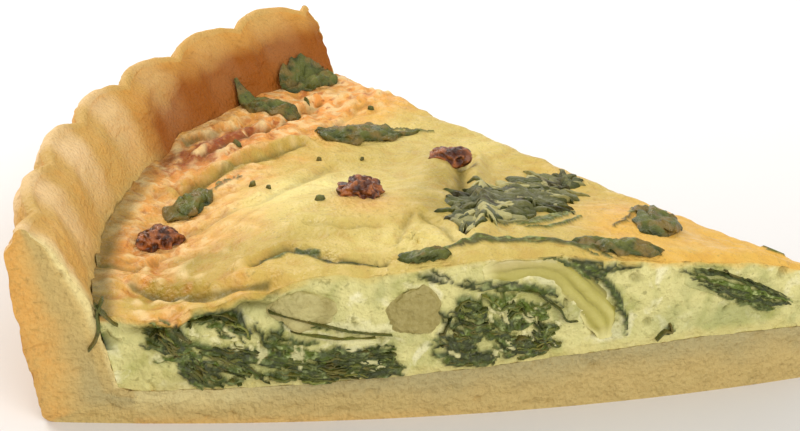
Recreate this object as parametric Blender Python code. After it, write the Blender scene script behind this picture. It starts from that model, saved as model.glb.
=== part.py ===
"""One slice of a spinach quiche, a sixth of a fluted round one of about 25 cm.

The slice stands on Z = 0 with its front cut along X, its point towards +X and its far cut
running to +Y. Radii are measured from the point. A place in the slice is given by its radius,
its share of the way from the front cut to the far cut, and its height. Sizes are in
millimetres and become metres where a mesh is made.
"""

import math
import random

import bmesh
import bpy
import numpy as np
from mathutils import Vector, noise
from mathutils.bvhtree import BVHTree

MM = 0.001
GAP = 0.3  # kept between neighbours

# The slice
TIP = (63.2, -49.4)  # the point of the slice, which puts the middle of its box over the origin
SLICE_ANGLE = math.radians(56.5)
FRONT_BOW = 5.3  # the front cut swells towards the viewer by this much half way along
TIP_BLUNT = 0.8  # radius at which the pastry's point ends

# The pastry
BASE_EDGE = 5.4  # thickness of the base where it meets the wall
# The base grows thicker towards the point: thickness by radius
BASE_THICKNESS = ((0.0, 9.4), (22.0, 9.9), (44.0, 9.0), (66.0, 7.4), (88.0, 6.1), (108.5, BASE_EDGE))
BASE_RADII = (TIP_BLUNT, 22.0, 44.0, 66.0, 88.0, 108.5)
FOOT_RADIUS = 121.5  # outside of the wall where it meets the floor
RIM_RADIUS = 125.0  # outside of the wall at the rim, between the flutes' peaks and valleys
RIM_HEIGHT = 30.0
RIM_WIDTH = 5.2
INNER_FOOT = 110.6  # inside of the wall at the base
FILL_RADIUS = 113.8  # inside of the wall where the filling meets it
FILL_HEIGHT = 18.4
WALL_LEVELS = ((0.0, 6.6), (1.4, 8.6), (8.0, 12.5), (16.0, 18.4), (23.0, 23.6), (27.4, 27.4))
FOOT_ROUND = 1.2
RIM_ROUND = 1.6
SHOULDER_IN = 0.4 * RIM_ROUND  # where the rim's rounding starts, inwards and downwards
SHOULDER_DOWN = 0.5 * RIM_ROUND

# The flutes round the wall
FLUTE_PITCH = math.radians(8.6)
FLUTE_FIRST = math.radians(-0.5)
FLUTE_COUNT = 9
FLUTE_STEPS = 8
FLUTE_OUT = 1.6
FLUTE_IN = 1.2
FLUTE_LIFT = 0.7
FLUTE_POWER = 0.7  # under 1 gives round bulges with narrow creases between them
FLUTE_SEED = 4
FLUTES_FULL_OUTSIDE = 0.6  # share of the wall's height at which the flutes are full outside
FLUTES_FULL_INSIDE = 0.9  # the same inside, counted from the filling's edge

# The filling's top: height by radius along both cuts, and the swells and hollows between them
FRONT_HEIGHTS = (
    (0.0, 18.0), (6.0, 19.9), (14.0, 22.4), (24.0, 23.8), (34.0, 24.3), (40.0, 25.2), (47.0, 26.4),
    (57.0, 26.6), (66.0, 25.5), (72.0, 24.6), (79.0, 24.5), (86.0, 23.9), (92.0, 22.5), (98.0, 20.1),
    (103.0, 18.1), (108.0, 17.6), (114.0, 19.0),
)
FAR_HEIGHTS = ((0.0, 18.0), (57.0, 18.1), (114.0, 18.8))
# Each swell: X and Y from the point, rise, half length, half width, turn in degrees
SWELLS = (
    (-73.0, 19.0, 2.6, 16.0, 10.0, 18.0),
    (-55.0, 38.0, 3.2, 6.0, 11.0, -20.0),
    (-98.0, 34.0, -0.9, 8.0, 20.0, 0.0),
    (-89.0, 56.0, 1.5, 15.0, 5.0, 25.0),
    (-68.0, 74.0, -0.8, 11.0, 6.0, 30.0),
    (-27.0, 18.0, 2.2, 9.0, 8.0, 30.0),
)
TOP_ROWS = 30
TOP_COLUMNS = 18
TOP_UNEVEN = 0.5
TOP_GRAIN = 11.0
SLOPE_FROM = 0.04  # shares of the way across between which the top falls to its far height
SLOPE_TO = 0.92
CUT_FADE = 0.15  # share of the way across over which the swells fade at both cuts
WALL_FADE = 8.0  # distance over which they fade at the wall

# Fillings that show at the front cut, clear of each other. The wads rest on the base, so their
# outlines go by radius and height over it; the pieces set in higher up go by radius and height
OUTER_WAD = (
    (106.4, 6.2), (103.4, 9.9), (98.0, 11.2), (91.5, 9.4), (85.0, 7.0), (79.0, 5.6), (73.0, 5.5),
    (69.4, 5.3), (67.2, 3.2), (67.6, 0.4), (76.0, 0.0), (88.0, 0.0), (97.0, 0.0), (103.4, 2.4),
)
INNER_WAD = (
    (63.4, 2.6), (63.2, 6.6), (61.2, 9.8), (58.0, 11.2), (54.0, 11.2), (50.0, 9.9), (46.8, 7.4),
    (44.8, 4.0), (45.2, 0.6), (49.0, 0.0), (56.0, 0.0), (62.4, 0.2),
)
LEFT_CHUNK = ((88.4, 18.0), (87.6, 21.0), (83.6, 22.2), (79.8, 20.4), (79.6, 16.8), (83.8, 15.2))
RIGHT_CHUNK = (
    (71.2, 16.6), (70.6, 20.2), (67.8, 21.8), (65.0, 20.8), (65.0, 16.6), (66.6, 14.2), (69.8, 14.4),
)
TIP_PACKET = (
    (27.4, 21.0), (25.8, 22.6), (20.0, 21.0), (13.0, 18.0), (7.6, 15.4), (6.4, 14.0), (8.8, 13.0),
    (13.0, 13.6), (20.0, 16.2), (26.2, 19.0),
)
OUTLINE_POINTS = 22
WAD_SECTIONS = 12
WAD_UNEVEN = 1.1
WAD_GRAIN = (0.21, 0.3, 7.0)  # how fast it changes with radius, height and share
FLAT_UNDER = 1.0  # below this a wad lies flat on the base
COVER = 2.0  # custard left over a wad
CHUNK_DEPTH = 9.0
PACKET_DEPTH_SHARE = 0.4
PAST_CUT = 4.0  # how far a cutter runs beyond a cut
PAST_SHARE = 0.1  # the same as a share of the way across
CHUNK_BACK = ((0.35, 1.0), (0.75, 0.9), (1.0, 0.62))  # a chunk's size by its share of the depth
CURVE_STEPS = 8

# The curved onion slice over the inner spinach: an arc about a point low in the cut
ONION_CENTRE = (53.6, 9.0)
ONION_INNER = 12.7
ONION_OUTER = 18.0
ONION_FROM = math.radians(9.0)
ONION_TO = math.radians(108.0)
ONION_STEPS = 14
ONION_DEPTH = 8.0
ONION_BANDS = 0.35
ONION_BENDS = 5.0
ONION_SECTIONS = 4

# Pieces that lie on top: X and Y from the point, half length, half width, turn in degrees,
# thickness in the middle and at the edge, and the lobes round its outline
TOP_PIECES = {
    "leaf_back": (-78.6, 76.0, 5.6, 2.6, -30.0, 1.0, 0.7, 5),
    "leaf_rim": (-68.4, 89.2, 6.6, 3.0, 33.0, 1.0, 0.7, 5),
    "leaf_mid": (-63.8, 61.0, 7.2, 4.4, 2.0, 1.0, 0.7, 7),
    "leaf_left": (-97.2, 34.4, 5.0, 2.8, 45.0, 1.0, 0.7, 5),
    "leaf_near_tip": (-24.8, 13.2, 8.0, 3.4, 69.0, 1.0, 0.7, 7),
    "leaf_edge": (-36.5, -1.4, 6.0, 2.6, -6.0, 1.1, 0.7, 6),
    "leaf_scrap": (-66.4, -3.0, 3.4, 1.5, -6.0, 1.3, 0.7, 4),
    "spinach_top": (-45.0, 23.6, 19.5, 9.4, 54.0, 3.0, 1.0, 9),
    "browned_bit_left": (-102.6, 21.6, 4.2, 3.2, 30.0, 3.2, 1.0, 5),
    "browned_bit_round": (-71.6, 20.4, 3.6, 3.3, 0.0, 3.0, 1.0, 6),
    "browned_bit_corner": (-51.8, 42.6, 4.2, 2.6, -8.0, 2.6, 0.9, 4),
}
PIECE_RINGS = 3
PIECE_SPOKES = 14
HEAP_RINGS = 7
HEAP_SPOKES = 26
PIECE_CLEAR = 0.7
LEAF_WAVE = 0.9
HEAP_WAVE = 1.3
LOBE_DEPTH = 0.16
LOBE_GRAIN = 2.0
WAVE_GRAIN = 0.33
WAVE_HOLLOW = 0.3
PIECE_REACH = 1.0  # the ground is felt this far round each point of a piece
DROP_FROM = 60.0
SMOOTH_LIMIT = math.radians(40.0)

COLOURS = {
    "pastry_crust": ((0.62, 0.36, 0.13), 0.8),
    "egg_custard": ((0.72, 0.55, 0.24), 0.5),
    "spinach_outer": ((0.06, 0.08, 0.02), 0.45),
    "spinach_inner": ((0.05, 0.09, 0.03), 0.45),
    "onion_slice": ((0.48, 0.42, 0.14), 0.4),
    "tip_leaf": ((0.12, 0.16, 0.06), 0.45),
    "cheese_chunk_left": ((0.42, 0.34, 0.12), 0.6),
    "cheese_chunk_right": ((0.36, 0.30, 0.13), 0.6),
    "leaf": ((0.09, 0.10, 0.03), 0.5),
    "spinach_top": ((0.14, 0.16, 0.07), 0.5),
    "browned_bit": ((0.22, 0.06, 0.02), 0.6),
}


def clear_scene():
    for old in list(bpy.data.objects):
        bpy.data.objects.remove(old, do_unlink=True)


def material(name):
    """The Principled BSDF material of a piece, with its own colour and roughness."""
    colour, roughness = COLOURS[name]
    made = bpy.data.materials.get(name) or bpy.data.materials.new(name)
    made.use_nodes = True
    shader = made.node_tree.nodes["Principled BSDF"]
    shader.inputs["Base Color"].default_value = (*colour, 1.0)
    shader.inputs["Roughness"].default_value = roughness
    shader.inputs["Metallic"].default_value = 0.0
    return made


def add_object(name, points, faces, colour):
    """An object from points in millimetres, with its faces turned outwards."""
    mesh = bpy.data.meshes.new(name)
    mesh.from_pydata([Vector(point) * MM for point in points], [], faces)
    work = bmesh.new()
    work.from_mesh(mesh)
    bmesh.ops.recalc_face_normals(work, faces=work.faces)
    work.to_mesh(mesh)
    work.free()
    mesh.materials.append(material(colour))
    mesh.shade_smooth()
    mesh.set_sharp_from_angle(angle=SMOOTH_LIMIT)
    made = bpy.data.objects.new(name, mesh)
    bpy.context.scene.collection.objects.link(made)
    return made


def between(rows, at):
    """A value read from rows of place and value, straight between them."""
    places, values = zip(*rows)
    return float(np.interp(at, places, values))


def blend(low, high, at):
    """0 below low, 1 above high, with a soft step between."""
    share = min(max((at - low) / (high - low), 0.0), 1.0)
    return share * share * (3.0 - 2.0 * share)


def front_angle(radius):
    """The angle of the front cut at a radius: below zero where the cut swells out."""
    along = min(max(1.0 - radius / FOOT_RADIUS, 0.0), 1.0)
    return -math.asin(FRONT_BOW * 4.0 * along * (1.0 - along) / radius)


def on_ray(radius, angle, height):
    return (TIP[0] - radius * math.cos(angle), TIP[1] + radius * math.sin(angle), height)


def angle_at(radius, share):
    start = front_angle(radius)
    return start + share * (SLICE_ANGLE - start)


def place(radius, share, height):
    """The point at a radius, a share of the way from the front cut to the far cut, and a height."""
    return on_ray(radius, angle_at(radius, share), height)


def behind_front(radius, depth, height):
    """The point at a radius and a height that lies this deep behind the front cut."""
    return on_ray(radius, front_angle(radius) + depth / radius, height)


def flute(angle):
    """The flutes' wave, from 1 on a bulge to -1 in a crease, a little different at each bulge."""
    turns = (angle - FLUTE_FIRST) / FLUTE_PITCH
    draw = random.Random(FLUTE_SEED)
    sizes = [draw.uniform(0.75, 1.15) for _ in range(FLUTE_COUNT)]
    size = sizes[min(max(round(turns), 0), FLUTE_COUNT - 1)]
    return (2.0 * abs(math.cos(math.pi * turns)) ** FLUTE_POWER - 1.0) * size


def base_height(radius):
    return between(BASE_THICKNESS, radius)


def outer_radius(height, angle):
    plain = FOOT_RADIUS + (RIM_RADIUS - FOOT_RADIUS) * height / RIM_HEIGHT
    return plain + FLUTE_OUT * flute(angle) * blend(0.0, FLUTES_FULL_OUTSIDE * RIM_HEIGHT, height)


def inner_radius(height, angle):
    """The inside of the wall: steep below the filling's edge, leaning out and fluted above it."""
    above = (height - FILL_HEIGHT) / (RIM_HEIGHT - FILL_HEIGHT)
    below = (height - BASE_EDGE) / (FILL_HEIGHT - BASE_EDGE)
    if above <= 0.0:
        return INNER_FOOT + (FILL_RADIUS - INNER_FOOT) * max(below, 0.0)
    plain = FILL_RADIUS + (RIM_RADIUS - RIM_WIDTH - FILL_RADIUS) * above
    return plain + FLUTE_IN * flute(angle) * blend(0.0, FLUTES_FULL_INSIDE, above)


def crust_section(share):
    """The pastry's section at a share of the way round: its outside and its inside, point by point."""
    outside = [place(radius, share, 0.0) for radius in BASE_RADII]
    inside = [place(radius, share, base_height(radius)) for radius in BASE_RADII]
    angle = angle_at(FOOT_RADIUS, share)
    lift = FLUTE_LIFT * flute(angle)
    for outer_level, inner_level in WALL_LEVELS:
        outer = outer_radius(outer_level, angle) - (FOOT_ROUND if outer_level == 0.0 else 0.0)
        outside.append(on_ray(outer, angle, outer_level))
        inside.append(on_ray(inner_radius(inner_level, angle), angle, inner_level))
    top = RIM_HEIGHT + lift
    outer = outer_radius(RIM_HEIGHT, angle)
    inner = inner_radius(RIM_HEIGHT, angle)
    outside.append(on_ray(outer - SHOULDER_IN, angle, top - SHOULDER_DOWN))
    inside.append(on_ray(inner + SHOULDER_IN, angle, top - SHOULDER_DOWN))
    outside.append(on_ray(outer - RIM_ROUND, angle, top))
    inside.append(on_ray(inner + RIM_ROUND, angle, top))
    return outside + inside[::-1]


def loft(sections):
    """Points and faces of a closed solid through rings of points, its ends strips of four-sided faces."""
    count = len(sections[0])
    points = [point for section in sections for point in section]
    faces = []
    for step in range(len(sections) - 1):
        for k in range(count):
            following = (k + 1) % count
            low, high = step * count, (step + 1) * count
            faces.append((low + k, low + following, high + following, high + k))
    for start in (0, (len(sections) - 1) * count):
        for k in range(count // 2 - 1):
            faces.append((start + k, start + k + 1, start + count - 2 - k, start + count - 1 - k))
    return points, faces


def make_crust():
    sections = math.ceil(SLICE_ANGLE / FLUTE_PITCH * FLUTE_STEPS)
    points, faces = loft([crust_section(step / sections) for step in range(sections + 1)])
    return add_object("pastry_crust", points, faces, "pastry_crust")


def swell(x, y):
    """The sum of the swells and hollows at a place given from the point of the slice."""
    total = 0.0
    for centre_x, centre_y, rise, length, width, turn in SWELLS:
        turn = math.radians(turn)
        along = (x - centre_x) * math.cos(turn) + (y - centre_y) * math.sin(turn)
        across = (y - centre_y) * math.cos(turn) - (x - centre_x) * math.sin(turn)
        total += rise * math.exp(-((along / length) ** 2) - (across / width) ** 2)
    return total


def top_height(radius, share):
    """The height of the filling's top."""
    far = between(FAR_HEIGHTS, radius)
    front = between(FRONT_HEIGHTS, radius)
    x, y, _ = place(radius, share, 0.0)
    x, y = x - TIP[0], y - TIP[1]
    inside = blend(0.0, CUT_FADE, share) * blend(0.0, CUT_FADE, 1.0 - share)
    inside *= blend(0.0, WALL_FADE, FILL_RADIUS - radius)
    uneven = TOP_UNEVEN * noise.noise(Vector((x, y, 0.0)) / TOP_GRAIN)
    slope = 1.0 - blend(SLOPE_FROM, SLOPE_TO, share)
    return far + (front - far) * slope + swell(x, y) * inside + uneven


def make_custard():
    """The baked custard: a sector with an uneven top, inside the wall and on the base."""
    over, under = [], []
    for row in range(TOP_ROWS + 1):
        for column in range(TOP_COLUMNS + 1):
            share = column / TOP_COLUMNS
            radius = TIP_BLUNT + (FILL_RADIUS - GAP - TIP_BLUNT) * row / TOP_ROWS
            height = top_height(radius, share)
            if row == TOP_ROWS:
                radius = inner_radius(min(height, FILL_HEIGHT), 0.0) - GAP
            over.append(place(radius, share, height))
            radius = TIP_BLUNT + (BASE_RADII[-1] - GAP - TIP_BLUNT) * row / TOP_ROWS
            under.append(place(radius, share, base_height(radius) + GAP))
    wide = TOP_COLUMNS + 1
    count = len(over)
    faces = []
    for row in range(TOP_ROWS):
        for column in range(TOP_COLUMNS):
            at = row * wide + column
            square = (at, at + 1, at + wide + 1, at + wide)
            faces.append(square)
            faces.append(tuple(count + index for index in square[::-1]))
    last = TOP_ROWS * wide
    edge = [row * wide for row in range(TOP_ROWS)]
    edge += [last + column for column in range(wide)]
    edge += [row * wide + TOP_COLUMNS for row in range(TOP_ROWS - 1, -1, -1)]
    edge += list(range(TOP_COLUMNS - 1, 0, -1))
    for here, following in zip(edge, edge[1:] + edge[:1]):
        faces.append((here, following, count + following, count + here))
    return add_object("egg_custard", over + under, faces, "egg_custard")


def smooth_outline(corners, count):
    """A closed curve through the corners, as evenly spaced points of radius and height."""
    corners = np.array(corners)
    before, after, later = (np.roll(corners, shift, axis=0) for shift in (1, -1, -2))
    curve = []
    for t in np.linspace(0.0, 1.0, CURVE_STEPS, endpoint=False):
        square = (2 * before - 5 * corners + 4 * after - later) * t**2
        cube = (3 * corners - before - 3 * after + later) * t**3
        curve.append(0.5 * (2 * corners + (after - before) * t + square + cube))
    curve = np.stack(curve, axis=1).reshape(-1, 2)
    closed = np.vstack([curve, curve[:1]])
    run = np.concatenate([[0.0], np.cumsum(np.linalg.norm(np.diff(closed, axis=0), axis=1))])
    marks = np.linspace(0.0, run[-1], count, endpoint=False)
    return np.stack([np.interp(marks, run, closed[:, 0]), np.interp(marks, run, closed[:, 1])], axis=1)


def widened(outline, by):
    """The outline moved outwards by a distance."""
    along = np.roll(outline, -1, axis=0) - np.roll(outline, 1, axis=0)
    normal = np.stack([along[:, 1], -along[:, 0]], axis=1)
    normal /= np.linalg.norm(normal, axis=1)[:, None]
    middle = outline.mean(axis=0)
    outwards = np.sign(((outline - middle) * normal).sum())
    return outline + normal * outwards * by


def capped_loft(sections):
    """Points and faces of a solid through rings, with each end closed by a fan about its middle."""
    count = len(sections[0])
    points = [tuple(point) for section in sections for point in section]
    faces = []
    for step in range(len(sections) - 1):
        for k in range(count):
            following = (k + 1) % count
            low, high = step * count, (step + 1) * count
            faces.append((low + k, low + following, high + following, high + k))
    for section, start in ((sections[0], 0), (sections[-1], (len(sections) - 1) * count)):
        points.append(tuple(np.mean(section, axis=0)))
        for k in range(count):
            faces.append((start + k, start + (k + 1) % count, len(points) - 1))
    return points, faces


def uneven_outline(outline, share, seed):
    """The outline pulled in by a soft uneven amount, so that a wad is lumpy along its length."""
    middle = outline.mean(axis=0)
    by_radius, by_height, by_share = WAD_GRAIN
    moved = []
    for radius, height in outline:
        pull = noise.noise(Vector((radius * by_radius, height * by_height, share * by_share + seed)))
        shrink = WAD_UNEVEN * (0.5 + 0.5 * pull) * (0.0 if height < FLAT_UNDER else 1.0)
        reach = np.array((radius, height)) - middle
        moved.append(middle + reach * (1.0 - shrink / np.linalg.norm(reach)))
    return np.array(moved)


def wad_place(middle, radius, share, over_base):
    """A point of a wad by its height over the base, lowered where the filling's top falls."""
    within = min(max(share, 0.0), 1.0)
    covered = base_height(middle) + GAP + COVER
    room = (top_height(middle, within) - covered) / (top_height(middle, 0.0) - covered)
    return place(radius, share, base_height(radius) + GAP + over_base * min(room, 1.0))


def run_through(name, corners, colour, seed):
    """A filling that runs from the front cut to the far cut, and the cutter that makes room for it."""
    outline = smooth_outline(corners, OUTLINE_POINTS)
    middle = outline[:, 0].mean()
    sections = []
    for share in np.linspace(0.0, 1.0, WAD_SECTIONS + 1):
        uneven = uneven_outline(outline, share, seed)
        sections.append([wad_place(middle, r, share, over) for r, over in uneven])
    made = add_object(name, *capped_loft(sections), colour)
    wide = widened(outline, GAP)
    sections = []
    for share in (-PAST_SHARE, *np.linspace(0.0, 1.0, WAD_SECTIONS + 1), 1.0 + PAST_SHARE):
        sections.append([wad_place(middle, r, share, over) for r, over in wide])
    return made, add_object(name + "_room", *capped_loft(sections), colour)


def set_in(name, corners, depth_at, colour):
    """A chunk set into the front cut with a rounded back, and the cutter that makes room for it."""
    outline = smooth_outline(corners, OUTLINE_POINTS)
    middle = outline.mean(axis=0)

    def sections_of(shape, start, growth):
        sections = []
        for share, size in ((start, 1.0), *CHUNK_BACK):
            ring = middle + (shape - middle) * size
            ring_depth = [share * (depth_at(r) + growth) if share > 0.0 else share for r, _ in ring]
            sections.append([behind_front(r, d, z) for (r, z), d in zip(ring, ring_depth)])
        return sections

    made = add_object(name, *capped_loft(sections_of(outline, 0.0, 0.0)), colour)
    room = sections_of(widened(outline, GAP), -PAST_CUT, GAP)
    return made, add_object(name + "_room", *capped_loft(room), colour)


def onion_ring(inner, outer, start, end, bands):
    """The outline of the curved slice: out along its outer arc and back along its inner one."""
    ring = []
    for step in range(ONION_STEPS + 1):
        angle = start + (end - start) * step / ONION_STEPS
        reach = outer + bands * math.sin(ONION_BENDS * angle)
        ring.append((ONION_CENTRE[0] - reach * math.cos(angle), ONION_CENTRE[1] + reach * math.sin(angle)))
    for step in range(ONION_STEPS, -1, -1):
        angle = start + (end - start) * step / ONION_STEPS
        ring.append((ONION_CENTRE[0] - inner * math.cos(angle), ONION_CENTRE[1] + inner * math.sin(angle)))
    return ring


def make_onion():
    """The curved slice, cut from a ring, and the cutter that makes room for it."""
    ring = onion_ring(ONION_INNER, ONION_OUTER, ONION_FROM, ONION_TO, ONION_BANDS)
    depths = np.linspace(0.0, ONION_DEPTH, ONION_SECTIONS)
    sections = [[behind_front(r, d, z) for r, z in ring] for d in depths]
    made = add_object("onion_slice", *loft(sections), "onion_slice")
    slack = GAP / ONION_INNER
    ring = onion_ring(
        ONION_INNER - GAP, ONION_OUTER + GAP + 2 * ONION_BANDS, ONION_FROM - slack, ONION_TO + slack, 0.0
    )
    depths = np.linspace(-PAST_CUT, ONION_DEPTH + GAP, ONION_SECTIONS)
    room = [[behind_front(r, d, z) for r, z in ring] for d in depths]
    return made, add_object("onion_slice_room", *loft(room), "onion_slice")


def cut_rooms(custard, rooms):
    """Cuts the rooms from the custard and removes them."""
    for room in rooms:
        cut = custard.modifiers.new(room.name, "BOOLEAN")
        cut.operation = "DIFFERENCE"
        cut.solver = "EXACT"
        cut.object = room
        bpy.context.view_layer.objects.active = custard
        bpy.ops.object.modifier_apply(modifier=cut.name)
        bpy.data.objects.remove(room, do_unlink=True)
    custard.data.shade_smooth()
    custard.data.set_sharp_from_angle(angle=SMOOTH_LIMIT)


def ground_of(objects):
    """A function that gives the height of the highest solid under a place, in millimetres."""
    graph = bpy.context.evaluated_depsgraph_get()
    trees = [BVHTree.FromObject(made, graph) for made in objects]

    def height(x, y):
        start = Vector((x, y, DROP_FROM)) * MM
        hits = [tree.ray_cast(start, Vector((0.0, 0.0, -1.0)))[0] for tree in trees]
        return max((hit.z / MM for hit in hits if hit), default=BASE_EDGE)

    return height


def make_top_piece(name, ground):
    """A thin uneven piece that lies on what is under it, both faces split into triangles alike."""
    x, y, length, width, turn, middle_thick, edge_thick, lobes = TOP_PIECES[name]
    heap = name == "spinach_top"
    rings, spokes = (HEAP_RINGS, HEAP_SPOKES) if heap else (PIECE_RINGS, PIECE_SPOKES)
    wave_size = HEAP_WAVE if heap else (LEAF_WAVE if name.startswith("leaf") else 0.0)
    seed = sum(map(ord, name))
    turn = math.radians(turn)
    under, over = [], []
    for ring in range(rings + 1):
        share = ring / rings
        for spoke in range(spokes if ring else 1):
            angle = 2.0 * math.pi * spoke / spokes
            lobe = 1.0 + LOBE_DEPTH * math.sin(lobes * angle + seed) * share
            round_it = Vector((math.cos(angle) * LOBE_GRAIN, math.sin(angle) * LOBE_GRAIN, seed))
            lobe += LOBE_DEPTH * noise.noise(round_it)
            along = length * share * lobe * math.cos(angle)
            across = width * share * lobe * math.sin(angle)
            at_x = TIP[0] + x + along * math.cos(turn) - across * math.sin(turn)
            at_y = TIP[1] + y + along * math.sin(turn) + across * math.cos(turn)
            steps = (-PIECE_REACH, 0.0, PIECE_REACH)
            near = [(at_x + i, at_y + j) for i in steps for j in steps]
            base = max(ground(*spot) for spot in near) + PIECE_CLEAR
            ripple = noise.noise(Vector((at_x * WAVE_GRAIN, at_y * WAVE_GRAIN, seed)))
            thick = middle_thick + (edge_thick - middle_thick) * share**2
            lift = 0.0 if heap else wave_size * max(ripple, 0.0)
            crest = wave_size * max(ripple, -WAVE_HOLLOW) if heap else 0.0
            under.append((at_x, at_y, base + lift))
            over.append((at_x, at_y, base + lift + thick + crest))
    count = len(under)
    triangles = [(0, 1 + k, 1 + (k + 1) % spokes) for k in range(spokes)]
    for ring in range(1, rings):
        low, high = 1 + (ring - 1) * spokes, 1 + ring * spokes
        for k in range(spokes):
            following = (k + 1) % spokes
            triangles.append((low + k, high + k, high + following))
            triangles.append((low + k, high + following, low + following))
    faces = [tuple(count + index for index in triangle) for triangle in triangles]
    faces += [triangle[::-1] for triangle in triangles]
    edge = 1 + (rings - 1) * spokes
    for k in range(spokes):
        following = (k + 1) % spokes
        faces.append((edge + k, edge + following, count + edge + following, count + edge + k))
    colour = name if name in COLOURS else ("leaf" if name.startswith("leaf") else "browned_bit")
    return add_object(name, under + over, faces, colour)


def main():
    clear_scene()
    crust = make_crust()
    custard = make_custard()
    solids = [crust, custard]
    rooms = []
    for made, room in (
        run_through("spinach_outer", OUTER_WAD, "spinach_outer", 1.0),
        run_through("spinach_inner", INNER_WAD, "spinach_inner", 2.0),
        set_in("cheese_chunk_left", LEFT_CHUNK, lambda radius: CHUNK_DEPTH, "cheese_chunk_left"),
        set_in("cheese_chunk_right", RIGHT_CHUNK, lambda radius: CHUNK_DEPTH, "cheese_chunk_right"),
        set_in("tip_leaf", TIP_PACKET, lambda radius: PACKET_DEPTH_SHARE * radius, "tip_leaf"),
        make_onion(),
    ):
        solids.append(made)
        rooms.append(room)
    cut_rooms(custard, rooms)
    ground = ground_of(solids)
    for name in TOP_PIECES:
        make_top_piece(name, ground)


main()
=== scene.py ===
"""Looks of a slice of spinach quiche: its baked pastry, custard, spinach and browned top.

The finish is laid over the solids of the frame. A place in the slice is given by its radius from
the slice's point, its share of the way from the front cut to the far cut, and its height, all in
millimetres and turned into metres where a mesh gets its points.
"""

import math
import random

import bmesh
import bpy
import numpy as np
from mathutils import Matrix, Vector


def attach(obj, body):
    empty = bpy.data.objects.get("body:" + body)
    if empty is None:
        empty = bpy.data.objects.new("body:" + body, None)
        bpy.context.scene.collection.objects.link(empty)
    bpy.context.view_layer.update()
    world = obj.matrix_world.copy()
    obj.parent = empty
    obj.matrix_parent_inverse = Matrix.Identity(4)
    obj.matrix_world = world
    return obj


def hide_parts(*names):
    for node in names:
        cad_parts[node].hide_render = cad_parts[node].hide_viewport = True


bl_info = {
    "name": "Spinach quiche slice",
    "version": (1, 0, 0),
    "blender": (4, 5, 0),
    "location": "3D View > Sidebar > Quiche",
    "description": "Bakes the finish of a slice of spinach quiche over its solids",
    "category": "Object",
}

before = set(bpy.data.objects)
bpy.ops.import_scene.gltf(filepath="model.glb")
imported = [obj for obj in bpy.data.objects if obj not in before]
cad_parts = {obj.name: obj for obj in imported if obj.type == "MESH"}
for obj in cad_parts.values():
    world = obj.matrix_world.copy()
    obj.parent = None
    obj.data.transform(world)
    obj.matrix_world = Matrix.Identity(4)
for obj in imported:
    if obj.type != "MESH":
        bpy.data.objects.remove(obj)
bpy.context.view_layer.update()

MM = 0.001
TIP = np.array((63.2, -49.4))  # the point of the slice
SLICE_ANGLE = math.radians(56.5)
FRONT_BOW = 5.3
TIP_BLUNT = 0.8
BASE_REACH = 108.5  # radius where the base turns up into the wall
CUSTARD_FOOT = 108.2
WALL_ROUND = 120.0  # turns an angle into millimetres along the wall
FOOT_RADIUS = 121.5
RIM_RADIUS = 125.0
RIM_HEIGHT = 30.0
RIM_WIDTH = 5.2
INNER_FOOT = 110.6
FILL_RADIUS = 113.8
FILL_HEIGHT = 18.4
BASE_EDGE = 5.4
FLUTE_PITCH = math.radians(8.6)
FLUTE_FIRST = math.radians(-0.5)
FLUTE_COUNT = 9
FLUTE_OUT = 1.6
FLUTE_IN = 1.2
FLUTE_LIFT = 0.7
FLUTE_POWER = 0.7
FLUTE_SEED = 4

BASE_THICKNESS = ((0.0, 9.4), (22.0, 9.9), (44.0, 9.0), (66.0, 7.4), (88.0, 6.1), (108.5, BASE_EDGE))
FRONT_HEIGHTS = (
    (0.0, 18.0), (6.0, 19.9), (14.0, 22.4), (24.0, 23.8), (34.0, 24.3), (40.0, 25.2), (47.0, 26.4),
    (57.0, 26.6), (66.0, 25.5), (72.0, 24.6), (79.0, 24.5), (86.0, 23.9), (92.0, 22.5), (98.0, 20.1),
    (103.0, 18.1), (108.0, 17.6), (114.0, 19.0),
)
FAR_HEIGHTS = ((0.0, 18.0), (57.0, 18.1), (114.0, 18.8))
# Each swell of the top: X and Y from the point, rise, half length, half width, turn in degrees
SWELLS = (
    (-73.0, 19.0, 2.6, 16.0, 10.0, 18.0),
    (-55.0, 38.0, 3.2, 6.0, 11.0, -20.0),
    (-98.0, 34.0, -0.9, 8.0, 20.0, 0.0),
    (-89.0, 56.0, 1.5, 15.0, 5.0, 25.0),
    (-68.0, 74.0, -0.8, 11.0, 6.0, 30.0),
    (-27.0, 18.0, 2.2, 9.0, 8.0, 30.0),
)
# Outlines of the wads: radius, then height over the base of their under side and their top
OUTER_WAD = (
    (67.0, 2.0, 3.4), (68.4, 0.3, 5.0), (73.0, 0.0, 5.6), (79.0, 0.0, 5.8), (85.0, 0.0, 7.2),
    (91.5, 0.0, 9.6), (98.0, 0.1, 11.4), (103.4, 2.3, 10.1), (106.6, 5.4, 7.0),
)
INNER_WAD = (
    (44.8, 2.6, 4.4), (46.0, 0.4, 6.6), (50.0, 0.0, 10.0), (54.0, 0.0, 11.4), (58.0, 0.0, 11.4),
    (61.2, 0.2, 10.0), (62.8, 1.0, 7.4), (63.6, 2.6, 5.0),
)
WAD_COVER = 2.3  # custard over a wad, counted from the top of the base
ONION_CENTRE = (53.6, 9.0)
ONION_INNER = 12.7
ONION_OUTER = 18.0
ONION_FROM = math.radians(9.0)
ONION_TO = math.radians(108.0)
ONION_DEPTH = 8.0


def srgb(red, green, blue):
    """A display colour from 0 to 255 as the linear colour that materials take."""
    display = (red, green, blue)
    return tuple(((value / 255 + 0.055) / 1.055) ** 2.4 if value > 10 else value / 3295 for value in display)


def colour_property(name, description, *display):
    return bpy.props.FloatVectorProperty(
        name=name, description=description, subtype="COLOR", size=3, default=srgb(*display)
    )


def length_property(name, description, metres):
    return bpy.props.FloatProperty(name=name, description=description, default=metres, unit="LENGTH")


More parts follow.
